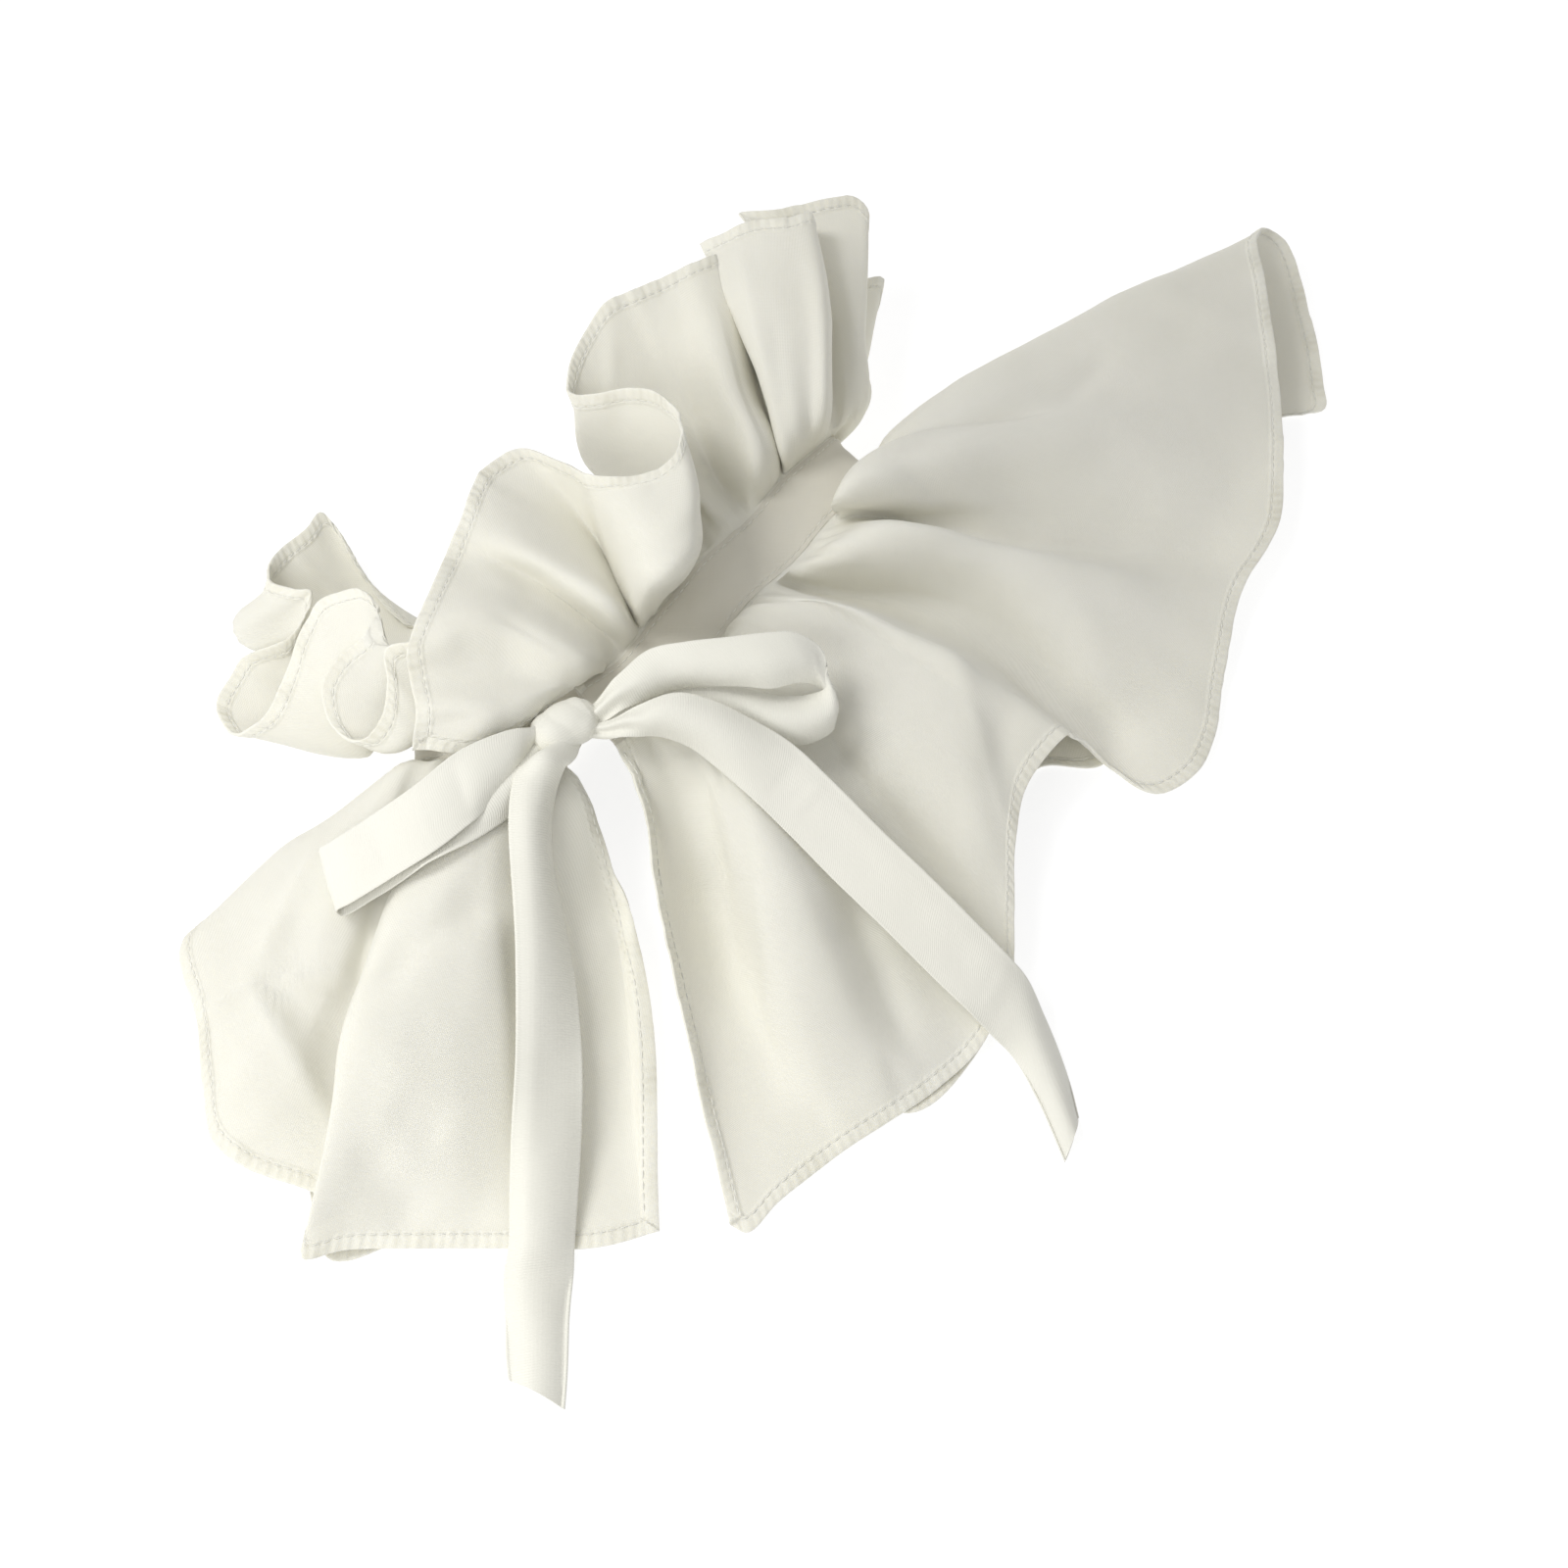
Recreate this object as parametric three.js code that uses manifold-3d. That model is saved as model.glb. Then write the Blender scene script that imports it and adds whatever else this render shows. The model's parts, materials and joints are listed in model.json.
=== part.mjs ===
// Detachable ruffle collar, lying collapsed and tied at the front with a ribbon bow.
// Millimetres, +Z up, resting on z = 0. +X runs along the flattened neck band from the
// bow to the far fold; the neck opening is a flat tube whose axis is along Y.
import * as THREE from 'three';
import { mergeVertices } from 'three/addons/utils/BufferGeometryUtils.js';
import Module from 'manifold-3d';

const wasm = await Module();
wasm.setup();

// ---------------------------------------------------------------- named sizes
const BAND_WIDTH = 21;        // finished width of the neck band
const BAND_WALL = 1.6;        // two layers of cloth and the seam allowances between them
const RUFFLE_WALL = 1.0;      // ruffle cloth with its turned hems
const RIBBON_WIDTH = 19.2;    // tie ribbon
const RIBBON_WALL = 1.0;
const SEAM_GAP = 1.0;         // between the band's edge and the first line of ruffle cloth
const TOUCH_GAP = 0.35;       // between the knot and the ribbons that enter it
const FLOOR = 0;
const KNOT = { x: -80.4, y: 28.3, z: 37.7, long: 10.2, across: 7.0, deep: 5.4, turn: -0.208 };

const table = (columns, rows) =>
  rows.map((row) => Object.fromEntries(columns.map((name, i) => [name, row[i]])));

// Neck band: a row for each section round the loop, from the bow end of the upper layer,
// along the top, round the far fold, back underneath, round the near roll and up to the bow.
// lo is the edge that carries the lower ruffle, up the edge that carries the upper ruffle.
const BAND_SECTIONS = table(['lox', 'loy', 'loz', 'upx', 'upy', 'upz'], [
  [-71.3, 20.3, 29.7, -67.9, 34.1, 32.1],
  [-53, 17.4, 26.5, -50.6, 36.3, 27.3],
  [-33.3, 19.7, 25.7, -31.9, 39.7, 26.5],
  [-7.5, 22.8, 25.7, -4.2, 44.6, 25.7],
  [12.2, 22.9, 24.9, 14.7, 44.5, 24.9],
  [29.8, 24.8, 24.1, 33.4, 47.4, 24.1],
  [46.4, 28.7, 22.5, 50.5, 45.8, 21.7],
  [57.8, 34.5, 16.9, 61.1, 46.6, 14.5],
  [58.7, 35.3, 8.9, 60.4, 48.2, 6.5],
  [33.6, 26.9, 5.7, 35.4, 48, 5.7],
  [-4.6, 25.7, 5.7, -2.7, 46.8, 5.7],
  [-33, 31.2, 5.7, -30.7, 52.9, 5.7],
  [-59.1, 41, 5.7, -49.4, 60.6, 5.7],
  [-81.9, 53.1, 7.3, -68.2, 70.9, 7.3],
  [-99.2, 61.7, 10.5, -83.9, 77.3, 10.5],
  [-110.8, 60.9, 17.7, -94.1, 75.7, 17.7],
  [-107.7, 52.8, 25.7, -91.8, 67.5, 25.7],
  [-94.9, 40.9, 28.1, -80.1, 56.4, 28.1],
  [-86.1, 28.9, 31.3, -73.3, 45.2, 32.1],
]);

// Lower ruffle: a row for each fold or section. at = share of the band's length,
// near = where the cloth has risen from the seam, mid = half way down the cloth, hem = its edge.
const RUFFLE_COLUMNS = ['at', 'nearx', 'neary', 'nearz', 'midx', 'midy', 'midz', 'hemx', 'hemy', 'hemz'];
const LOWER_FOLDS = table(RUFFLE_COLUMNS, [
  [0, -77.7, 4.2, 28.1, -108.5, -36.3, 16.9, -148.4, -94, 0.5],
  [0.004, -75.4, 4.9, 26.5, -102.3, -33.5, 11.3, -146.9, -98.9, 0.5],
  [0.01, -73.5, 6.1, 24.9, -93.6, -32.8, 7.3, -135, -99.5, 0.5],
  [0.022, -67.2, 4.4, 24.1, -86, -34.4, 7.3, -123.2, -101.4, 0.5],
  [0.036, -61, 1.2, 28.1, -77.9, -41.2, 19.3, -111, -104, 1.3],
  [0.05, -55.8, 0.6, 29.7, -69.5, -46.1, 23.3, -99.5, -107.2, 1.7],
  [0.07, -45.3, 3.3, 28.9, -51.7, -49.7, 12.9, -82.3, -111.3, 1.7],
  [0.09, -36.2, 7, 28.9, -36.9, -50.8, 11.3, -65.3, -112.6, 3.3],
  [0.11, -27.6, 10.9, 30.5, -25.1, -47.8, 17.7, -46.1, -107.6, 7.3],
  [0.13, -20.9, 15.3, 32.9, -14.6, -42.5, 23.3, -30.6, -95.4, 10.5],
  [0.15, -14.3, 16.6, 34.5, -3.4, -36.6, 27.3, -12.3, -81, 13.7],
  [0.17, -7.2, 12.6, 36.1, 5, -33.2, 29.7, 2.3, -74.5, 16.9],
  [0.19, -1.5, 6.2, 36.9, 12, -31, 31.3, 20.7, -74.2, 19.3],
  [0.197, 0.3, 7.3, 34.5, 16.2, -29.8, 26.5, 22.6, -75.4, 16.1],
  [0.205, 4.6, 15.2, 24.9, 23.3, -24, 16.9, 25.6, -78.1, 11.3],
  [0.215, 7.5, 20.4, 20.1, 30.2, -21.4, 12.9, 27, -87.6, 6.1],
  [0.225, 10.4, 19.1, 21.7, 36.7, -21.6, 15.3, 31.6, -102.2, 2.9],
  [0.232, 12.4, 16.5, 26.5, 39.7, -22.7, 19.3, 45, -106, 2.5],
  [0.24, 14.3, 14, 31.3, 42.6, -23.7, 23.3, 56.9, -103.2, 2.5],
  [0.255, 21.3, 11.7, 36.9, 47.6, -25, 29.7, 76.8, -92.6, 4.1],
  [0.268, 28.9, 9.9, 38.5, 54.7, -24.5, 31.3, 96.6, -82.4, 8.1],
  [0.275, 32.1, 13.8, 32.9, 60.7, -23.6, 23.3, 108.3, -78.6, 9.7],
  [0.283, 36.4, 20.3, 24.9, 67.9, -21.5, 16.1, 122.1, -76.3, 9.7],
  [0.294, 34.6, 22.7, 26.5, 73.9, -19.2, 18.5, 132.6, -73.4, 9.7],
  [0.306, 29.4, 23.2, 33.7, 80.7, -14.7, 24.1, 148.4, -62.9, 11.3],
  [0.325, 32.9, 24.4, 39.3, 93, -4.8, 32.9, 171.5, -45.1, 13.7],
  [0.34, 43, 26.4, 37.7, 104.6, 2.1, 28.1, 187.8, -29.3, 18.5],
  [0.355, 56.2, 26.7, 32.1, 118.1, 12.6, 28.1, 204.1, -13.7, 21.7],
  [0.368, 63.4, 30.1, 27.3, 128.8, 21.4, 25.7, 215.6, -3.6, 21.7],
  [0.38, 67.7, 33, 20.9, 135.3, 24.1, 20.1, 224.5, -1.3, 16.9],
  [0.395, 64.2, 21.6, 12.9, 139.8, 23.3, 12.1, 229.5, -8.5, 10.5],
  [0.412, 61.9, 21.1, 7.9, 140.5, 18.7, 7.3, 213.5, -30.4, 4.9],
  [0.428, 56.1, 19.7, 6.3, 134.2, 9.8, 4.1, 193.6, -49.9, 1.7],
  [0.44, 50.7, 18.4, 5.9, 127.5, 2.9, 3.3, 184.8, -56, 1.1],
  [0.45, 46.1, 17.4, 5.8, 122.7, -0.4, 2.9, 177.2, -49.7, 0.9],
  [0.47, 38.1, 16.1, 5.3, 114.5, -2.7, 2.5, 167.8, -42.7, 0.5],
  [0.495, 28.9, 15, 4.7, 94.7, -8.3, 0.9, 116.3, -61.9, 0.5],
  [0.52, 18.7, 13.9, 4.6, 60.7, -15.4, 0.5, 65.4, -70.8, 0.5],
  [0.545, 8, 13.2, 4.9, 30.6, -20.1, 0.5, 28.7, -82.5, 0.5],
  [0.56, 1.4, 13.2, 5.1, 12.7, -21.3, 0.5, 15.6, -69.1, 0.5],
  [0.58, -7.2, 13.8, 5.2, -7.5, -24.7, 0.5, -25.1, -89.4, 0.5],
  [0.605, -17.3, 15.3, 5.2, -31.9, -22.5, 0.5, -64.2, -112, 0.5],
  [0.63, -26.6, 17.3, 5.1, -46.4, -16, 0.5, -93.5, -109.1, 0.5],
  [0.65, -34.4, 19.4, 5, -52.5, -4, 0.5, -95.3, -73.7, 0.5],
  [0.668, -42.1, 21.7, 4.9, -54.1, 12, 1.7, -76.2, -21.7, 0.9],
  [0.69, -49.7, 29.6, 4.1, -51.3, 29.8, 2.5, -52.7, 29.4, 1.3],
  [0.712, -58.5, 36.5, 4.1, -60.8, 38.5, 2.5, -62.4, 40.4, 1.3],
  [0.735, -71, 36.6, 4.9, -83.8, 35.8, 1.7, -106.9, 13.4, 0.9],
  [0.76, -80.3, 39.8, 5.6, -111.7, 28.5, 0.9, -164.8, -20.7, 0.5],
  [0.785, -88.9, 44.8, 6.5, -132, 28, 0.5, -213.5, -29.4, 0.5],
  [0.8, -94.4, 47.9, 7, -137.6, 34.3, 0.5, -224.5, -21.6, 0.5],
  [0.815, -100, 51.5, 7.5, -143.9, 43.9, 0.5, -209.7, 5.8, 0.5],
  [0.835, -107.5, 56.1, 8.7, -145.8, 62, 1.7, -201.2, 47, 0.9],
  [0.853, -114.5, 67, 7.7, -145.5, 76.2, 4.1, -184.6, 76.6, 3.3],
  [0.868, -115.6, 66.3, 14.5, -150, 72.3, 12.1, -191.8, 73.5, 7.3],
  [0.88, -117.1, 63.4, 22.5, -155.3, 59.4, 18.5, -203.7, 52, 9.7],
  [0.892, -116.8, 60.4, 26.5, -159, 46.2, 20.1, -215.7, 36.7, 7.3],
  [0.898, -115.4, 58.6, 28.5, -160.1, 40.8, 19.3, -223.6, 23.7, 6.5],
  [0.904, -113.6, 56.5, 30.1, -160.5, 36, 17.7, -223.1, 13.2, 5.7],
  [0.914, -111, 53.4, 31.3, -158.8, 31, 13.7, -215.6, -5.6, 4.9],
  [0.924, -108.8, 50.5, 31.7, -158.2, 27.4, 15.3, -213.2, -15.4, 5.7],
  [0.932, -107, 48, 31.7, -162.5, 26.3, 21.7, -223.2, -14.8, 8.1],
  [0.94, -105.8, 44.2, 31.7, -162.7, 22.5, 27.3, -229.7, -17.8, 7.3],
  [0.952, -104.8, 37.2, 32.9, -154.3, 14.4, 31.3, -221, -23.3, 4.1],
  [0.964, -101.7, 32.5, 33.7, -142.1, 5, 28.1, -207, -37.8, 2.5],
  [0.976, -98.8, 27.7, 33.4, -129.6, -3.9, 20.9, -190.7, -56, 1.7],
  [0.988, -90, 16.9, 29.7, -119.2, -16.8, 12.9, -176.1, -72.2, 1.7],
  [1, -86.5, 16.4, 27.3, -111.3, -28.8, 8.9, -162, -81.2, 0.9],
]);

// Upper ruffle: the same columns.
const UPPER_FOLDS = table(RUFFLE_COLUMNS, [
  [0, -78.8, 37.3, 36.5, -98.9, 39, 38.9, -115.5, 52.1, 41.7],
  [0.01, -76.1, 37.1, 37.7, -95.6, 39.6, 44.1, -111.7, 54.1, 47.3],
  [0.018, -71.4, 36.9, 38.5, -91.3, 41.4, 47.3, -108.1, 56.9, 49.7],
  [0.028, -67.3, 36.2, 38.5, -81.5, 50.6, 46.5, -101.7, 65.8, 50.5],
  [0.036, -63.3, 35.3, 40.9, -74.1, 56.8, 53.7, -96.3, 71.1, 55.3],
  [0.041, -61, 35.2, 40.9, -71.5, 57.8, 53.7, -91.4, 73.9, 55.3],
  [0.052, -52.6, 40.7, 34.5, -59.1, 65.9, 45.7, -77.6, 81.7, 52.1],
  [0.062, -47.5, 43.4, 32.1, -52.3, 68.3, 42.5, -65.1, 89.1, 48.9],
  [0.074, -45, 40.4, 39.3, -48.9, 61.7, 48.9, -54.5, 93.7, 50.5],
  [0.081, -41.1, 42.4, 36.1, -37.8, 66.6, 42.5, -41.5, 101.4, 48.9],
  [0.085, -38.2, 44.4, 32.1, -29.6, 70.8, 36.1, -35.7, 103.8, 47.3],
  [0.088, -35.9, 46.1, 28.9, -24.7, 72.4, 32.1, -22, 100.3, 47.3],
  [0.09, -35.5, 45.6, 28.9, -23.9, 69, 32.9, -17.7, 87.1, 47.3],
  [0.092, -36.8, 42.9, 32.9, -28.1, 60.8, 42.5, -17.7, 76.7, 50.5],
  [0.096, -38.7, 38, 41.7, -30.8, 51.4, 53.7, -16.1, 68.8, 53.7],
  [0.103, -37.4, 34.7, 47.3, -29.7, 44, 60.1, -13.8, 62.9, 56.9],
  [0.114, -33.1, 32.8, 48.9, -24.5, 38, 62.5, -9.1, 58.6, 60.1],
  [0.127, -26.7, 32.3, 47.3, -16.7, 36.9, 62.5, -2, 57.3, 61.7],
  [0.141, -17.7, 35.9, 41.7, -8.8, 40.6, 56.9, 6.4, 61.6, 60.1],
  [0.15, -9.6, 43.3, 32.9, -1.1, 50.1, 45.7, 13.8, 69.9, 56.1],
  [0.158, -5.3, 48.3, 26.5, 3.2, 60.8, 36.1, 16.9, 78.4, 52.9],
  [0.167, -3.5, 52.5, 23.3, 3.6, 70.8, 29.7, 17.2, 85.7, 50.5],
  [0.177, -1.9, 54.1, 21.7, 1.3, 80, 26.5, 14.5, 93.5, 47.3],
  [0.185, -0.5, 54.6, 20.9, -2.2, 87.1, 24.9, 8.2, 101.3, 44.1],
  [0.19, 1, 55.1, 20.9, -3.7, 91.1, 24.9, 5.1, 106.3, 42.5],
  [0.194, 3, 55.3, 21.7, 0.3, 92.7, 26.5, 5.5, 109.8, 41.7],
  [0.202, 6, 55.6, 23.3, 9, 92.5, 28.1, 11.4, 115.5, 41.7],
  [0.215, 8.8, 55.6, 26.5, 18.8, 91.9, 31.3, 25.6, 121.5, 42.5],
  [0.224, 13.5, 56.6, 24.9, 26.8, 93.9, 30.5, 36.3, 123.1, 44.9],
  [0.236, 19.3, 57.1, 21.7, 36.3, 93.6, 29.7, 45.8, 120.3, 44.9],
  [0.247, 20.9, 52.3, 28.1, 40, 87.7, 32.9, 57.4, 116.3, 44.9],
  [0.262, 24.8, 48.5, 36.1, 42.9, 77.8, 39.3, 67.6, 112.3, 45.7],
  [0.276, 32.7, 50.3, 32.9, 49.1, 76.1, 36.1, 76.2, 110.5, 44.1],
  [0.284, 37.6, 52.3, 25.7, 57.9, 79.2, 26.5, 85, 108, 39.3],
  [0.289, 38.3, 52.1, 24.1, 59.1, 80.2, 26.5, 83.3, 111.6, 41.7],
  [0.294, 36, 49.2, 29.7, 53.3, 77, 37.7, 74.7, 118, 44.9],
  [0.298, 35.3, 47.9, 32.9, 51.7, 74.7, 41.7, 80.1, 113.5, 48.1],
  [0.31, 40.4, 47.6, 34.5, 58.5, 69.8, 44.1, 89, 108, 49.7],
  [0.324, 46.5, 47.2, 32.9, 67.6, 66.5, 44.1, 97.3, 100.5, 49.7],
  [0.335, 50.6, 46, 32.9, 74.4, 63.6, 44.1, 103.9, 98, 48.9],
  [0.34, 53.6, 46.6, 29.7, 78.8, 65.2, 39.3, 105.9, 98, 47.3],
  [0.345, 56.6, 48.2, 24.1, 82, 69.8, 31.3, 106.5, 99.3, 42.5],
  [0.351, 58.6, 49.4, 20.9, 82.6, 75.9, 24.9, 101.9, 110.4, 37.7],
  [0.356, 61.1, 49.9, 20.1, 84.1, 77.2, 24.1, 98.9, 122.2, 36.1],
  [0.365, 65, 49.2, 20.9, 90.7, 73, 28.1, 108.6, 112, 37.7],
  [0.376, 67.7, 48.3, 20.1, 95.7, 69.9, 28.9, 122.1, 102.6, 38.5],
  [0.381, 68.6, 47.7, 19.3, 96.9, 68.8, 27.3, 127.6, 99.3, 37.7],
  [0.385, 69.7, 47.8, 17.7, 97.1, 67.6, 25.7, 128.7, 94.7, 36.1],
  [0.391, 70.9, 49.1, 13.7, 96.4, 67.6, 19.3, 120.9, 88.7, 29.7],
  [0.397, 70.8, 49.7, 11.3, 93.7, 70.1, 13.7, 110.4, 84.6, 23.3],
  [0.404, 72.9, 50.7, 10.5, 94.7, 67.6, 13.7, 115.4, 82.9, 20.9],
  [0.415, 74.9, 51.5, 8.1, 96.2, 66.7, 12.1, 121.7, 80.4, 18.5],
  [0.435, 55.3, 60.4, 3.4, 91.3, 64.1, 7.3, 110.1, 75.7, 8.9],
  [0.47, 41.2, 57.8, 5.5, 83.1, 62, 4.1, 98.4, 72.9, 4.1],
  [0.5, 30.3, 56.9, 5.6, 68, 61.7, 3.3, 83, 76.7, 2.5],
  [0.54, 15.4, 56.7, 5.2, 45.4, 65.1, 1.7, 55.6, 91.2, 0.9],
  [0.59, -3.8, 58.7, 4.6, 5.8, 63, 1.7, 13, 91, 0.9],
  [0.64, -24, 63, 4.7, -21.3, 71.3, 1.7, -14, 104, 0.9],
  [0.7, -41.8, 69.4, 4.6, -46.9, 78.1, 1.7, -46.5, 106.5, 0.9],
  [0.755, -55.9, 76.7, 5.3, -63.9, 88.6, 2.5, -72.5, 106, 4.1],
  [0.785, -63.1, 81, 6.5, -69.4, 105.1, 3.3, -71.4, 127.7, 9.7],
  [0.808, -70, 84.5, 7.4, -79.5, 113, 4.1, -66.6, 149.9, 16.9],
  [0.816, -72.6, 85.8, 7.8, -84.4, 115, 4.9, -73.9, 147.6, 17.7],
  [0.828, -76.3, 87.5, 8.6, -90.5, 118.4, 5.7, -83.1, 146.8, 19.3],
  [0.842, -80.2, 88.4, 10, -97.1, 128.7, 5.7, -92.4, 143.4, 22.5],
  [0.852, -83.6, 88.5, 11.6, -107.6, 139.6, 5.7, -97.1, 135.2, 24.9],
  [0.862, -87, 88.3, 13.4, -111.5, 134.8, 7.3, -94.9, 128.2, 26.5],
  [0.871, -89.1, 87.5, 15.2, -106.5, 122.9, 9.7, -92, 122.5, 27.3],
  [0.88, -90.3, 86.2, 16.6, -105.3, 113.2, 8.9, -105, 122.5, 16.9],
  [0.888, -90.6, 84.6, 17.9, -107.3, 109.9, 6.5, -112.3, 130, 11.3],
  [0.896, -98.3, 87.7, 11.3, -113.2, 92, 4.9, -122.3, 130.3, 8.1],
  [0.905, -102, 87.2, 9.7, -113.5, 81.8, 4.1, -133.1, 124.7, 8.1],
  [0.913, -102.8, 84.9, 15.3, -114.3, 79.1, 8.1, -135.8, 114.3, 10.5],
  [0.922, -99.9, 81.1, 21.7, -115.6, 75.1, 15.3, -131.1, 106, 18.5],
  [0.932, -86.3, 73.5, 32, -113.2, 85.4, 27.3, -117.7, 106, 28.1],
  [0.941, -83.3, 70.1, 34.4, -106.7, 86.3, 35.3, -104, 110, 36.1],
  [0.947, -81.2, 68.1, 35.2, -100.7, 85.4, 38.5, -96.5, 110.6, 39.3],
  [0.954, -79.3, 66.3, 35.5, -97.5, 83.4, 40.9, -92.4, 106.3, 42.5],
  [0.962, -77.7, 63.7, 36.6, -95.2, 80.4, 43.3, -88.6, 100.6, 45.7],
  [0.968, -76.8, 62.4, 36.9, -95.2, 76.4, 43.3, -90.5, 91.3, 47.3],
  [0.972, -76.6, 62.1, 36.7, -98, 74.2, 40.1, -97.6, 89.4, 44.1],
  [0.976, -76.5, 61.8, 36.1, -101.9, 72.6, 36.1, -107.2, 92.1, 39.3],
  [0.979, -76.6, 61.8, 35.1, -106.3, 70.7, 31.3, -115.4, 90.8, 35.3],
  [0.982, -76.7, 61.5, 34.1, -110.1, 67.3, 28.9, -120.8, 82.8, 31.3],
  [0.985, -76.6, 60.4, 34.8, -111.1, 62.8, 29.7, -121, 76.1, 31.3],
  [0.988, -76.5, 59.2, 35.9, -109.9, 58.6, 32.9, -117.9, 69.9, 33.7],
  [0.991, -75.8, 58.2, 36.7, -106.6, 58.2, 36.1, -112.4, 69.2, 37.7],
  [0.995, -74.6, 56.6, 38, -100.8, 59.9, 37.7, -104.2, 74, 42.5],
  [0.998, -73.3, 55.6, 38.7, -95.1, 62.5, 38.5, -98.2, 80.4, 45.7],
  [1, -72.7, 55.3, 38.5, -89.2, 60.8, 36.9, -93.3, 74.1, 48.9],
]);

// Ribbons: a row for each section; a and b are the ribbon's two edges.
const RIBBON_COLUMNS = ['ax', 'ay', 'az', 'bx', 'by', 'bz'];
const LEFT_LOOP = table(RIBBON_COLUMNS, [
  [-77.5, 30.2, 39.3, -84.3, 28.5, 36.9],
  [-82.3, 31.4, 40.9, -89, 30, 36.9],
  [-87.7, 32.3, 43.3, -94.3, 29.3, 36.9],
  [-95.8, 35.2, 46.5, -103.9, 26.6, 37.3],
  [-108, 39.9, 47.3, -116.5, 25.1, 39.3],
  [-123.8, 43.6, 43.3, -132, 26.3, 39.3],
  [-136.8, 49.9, 36.9, -145.6, 31.1, 34.5],
  [-146.8, 53.7, 32.1, -156.1, 37.5, 28.9],
  [-149.9, 56.3, 28.1, -159.2, 40.2, 25.3],
  [-149.2, 55.8, 24.9, -158.9, 39.5, 23.3],
  [-140.7, 50.5, 28.7, -149.5, 34.1, 27.6],
  [-125.3, 44.1, 33.3, -135.8, 24.7, 37.5],
  [-109.4, 37.2, 37.7, -118.9, 21.6, 36.9],
  [-98, 33.1, 38.5, -106.1, 21, 35.7],
  [-89.6, 31.5, 38.1, -95.1, 24.3, 34.9],
  [-82.4, 30.3, 36.9, -87.8, 26.9, 34.5],
  [-77.7, 28.8, 36.9, -82.8, 26.3, 35.3],
]);
const RIGHT_LOOP = table(RIBBON_COLUMNS, [
  [-79.1, 27.6, 40.9, -79.8, 24.1, 39.3],
  [-73.3, 27.1, 41.7, -74.9, 22.7, 40.1],
  [-67.9, 26, 44.1, -70.8, 20.1, 40.9],
  [-60.8, 24.1, 47.3, -63.1, 16.4, 41.7],
  [-51.9, 21.7, 50.5, -54.1, 12, 41.7],
  [-44.2, 14.5, 52.9, -46.9, 5.1, 42.5],
  [-35.9, 6.6, 53.7, -40.6, -2.5, 43.3],
  [-27.1, -0.9, 53.7, -34.9, -9.9, 43.3],
  [-21.2, -6, 52.1, -27.6, -13.8, 41.7],
  [-18.7, -11.1, 48.9, -23.6, -16.9, 37.7],
  [-20, -16.3, 44.1, -25, -23.8, 34.1],
  [-23.5, -19.4, 40.1, -28.4, -27, 32.1],
  [-26.9, -16.1, 37.7, -35.4, -25, 31.7],
  [-32.2, -9.8, 36.9, -42.2, -18.5, 32.5],
  [-37.1, -1.5, 37.7, -46.7, -8.5, 33.7],
  [-41.7, 7, 38.9, -52.3, 2.1, 34.5],
  [-48.5, 15, 39.3, -57.7, 10.7, 34.5],
  [-59, 20.5, 37.7, -64.9, 17.2, 33.7],
  [-67.6, 24, 36.1, -71.1, 21.3, 33.7],
  [-73.1, 26.3, 36.1, -75, 24, 34.5],
  [-77.4, 28.3, 36.1, -79.6, 25.6, 35.3],
]);
const RIGHT_TAIL = table(RIBBON_COLUMNS, [
  [-79.3, 26.2, 38.5, -81, 24.1, 36.5],
  [-75.3, 22.8, 38.9, -77, 20.2, 36.9],
  [-70.9, 18.8, 41.3, -74.4, 16.2, 38.1],
  [-64.5, 14.8, 44.1, -71.1, 11.3, 39.3],
  [-55.3, 8.3, 46.5, -66.1, 5.5, 39.3],
  [-50, 0.4, 44.9, -62.4, -2.1, 37.7],
  [-45.6, -9.1, 40.9, -61, -11.1, 35.3],
  [-42.2, -20, 36.9, -60.3, -20.6, 32.1],
  [-41.4, -37.4, 32.1, -60.4, -36.6, 26.5],
  [-42.3, -56.3, 28.1, -61.5, -54.9, 21.7],
  [-42.9, -74.5, 24.9, -62.8, -73.9, 18.5],
  [-44, -93.1, 20.9, -63.9, -93.2, 14.5],
  [-44.1, -103.8, 17.7, -64.3, -106.9, 10.5],
  [-45.3, -111.5, 12.9, -62.5, -113.4, 6.5],
  [-48.3, -120.8, 6.5, -62, -121, 2.5],
  [-53.6, -131.5, 2.5, -66.4, -132.2, 0.5],
  [-63.5, -145.1, 0.5, -76.1, -150.1, 0.5],
]);
const DOWN_TAIL = table(RIBBON_COLUMNS, [
  [-83.7, 30.3, 38.5, -78.6, 25.4, 38.5],
  [-89.5, 28.2, 40.5, -82.1, 21.1, 40.1],
  [-94, 27.5, 41.7, -85.4, 19.3, 40.9],
  [-98, 27.3, 41.7, -88.7, 18.4, 40.9],
  [-104, 24.5, 40.9, -92.7, 17.7, 36.1],
  [-111.2, 19.5, 38.9, -99.9, 13.6, 31.7],
  [-119.5, 11.4, 36.1, -108.3, 5.9, 27.7],
  [-129.3, 1.1, 31.7, -116.5, -4.9, 22.9],
  [-142.1, -11.5, 26.5, -127.6, -19.5, 18.1],
  [-156.9, -24.8, 20.1, -141.9, -35.3, 13.7],
  [-171.9, -37.8, 14.5, -157.9, -50, 10.9],
  [-184.5, -49, 8.9, -171.9, -61.4, 8.1],
  [-191.6, -55.3, 5.7, -179.9, -67.7, 5.3],
  [-197.5, -58.9, 2.2, -184.8, -71.7, 2],
  [-206.2, -67.7, 0.5, -194.6, -79.5, 0.5],
  [-216.1, -78.7, 0.5, -212, -94.7, 0.5],
]);

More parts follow.
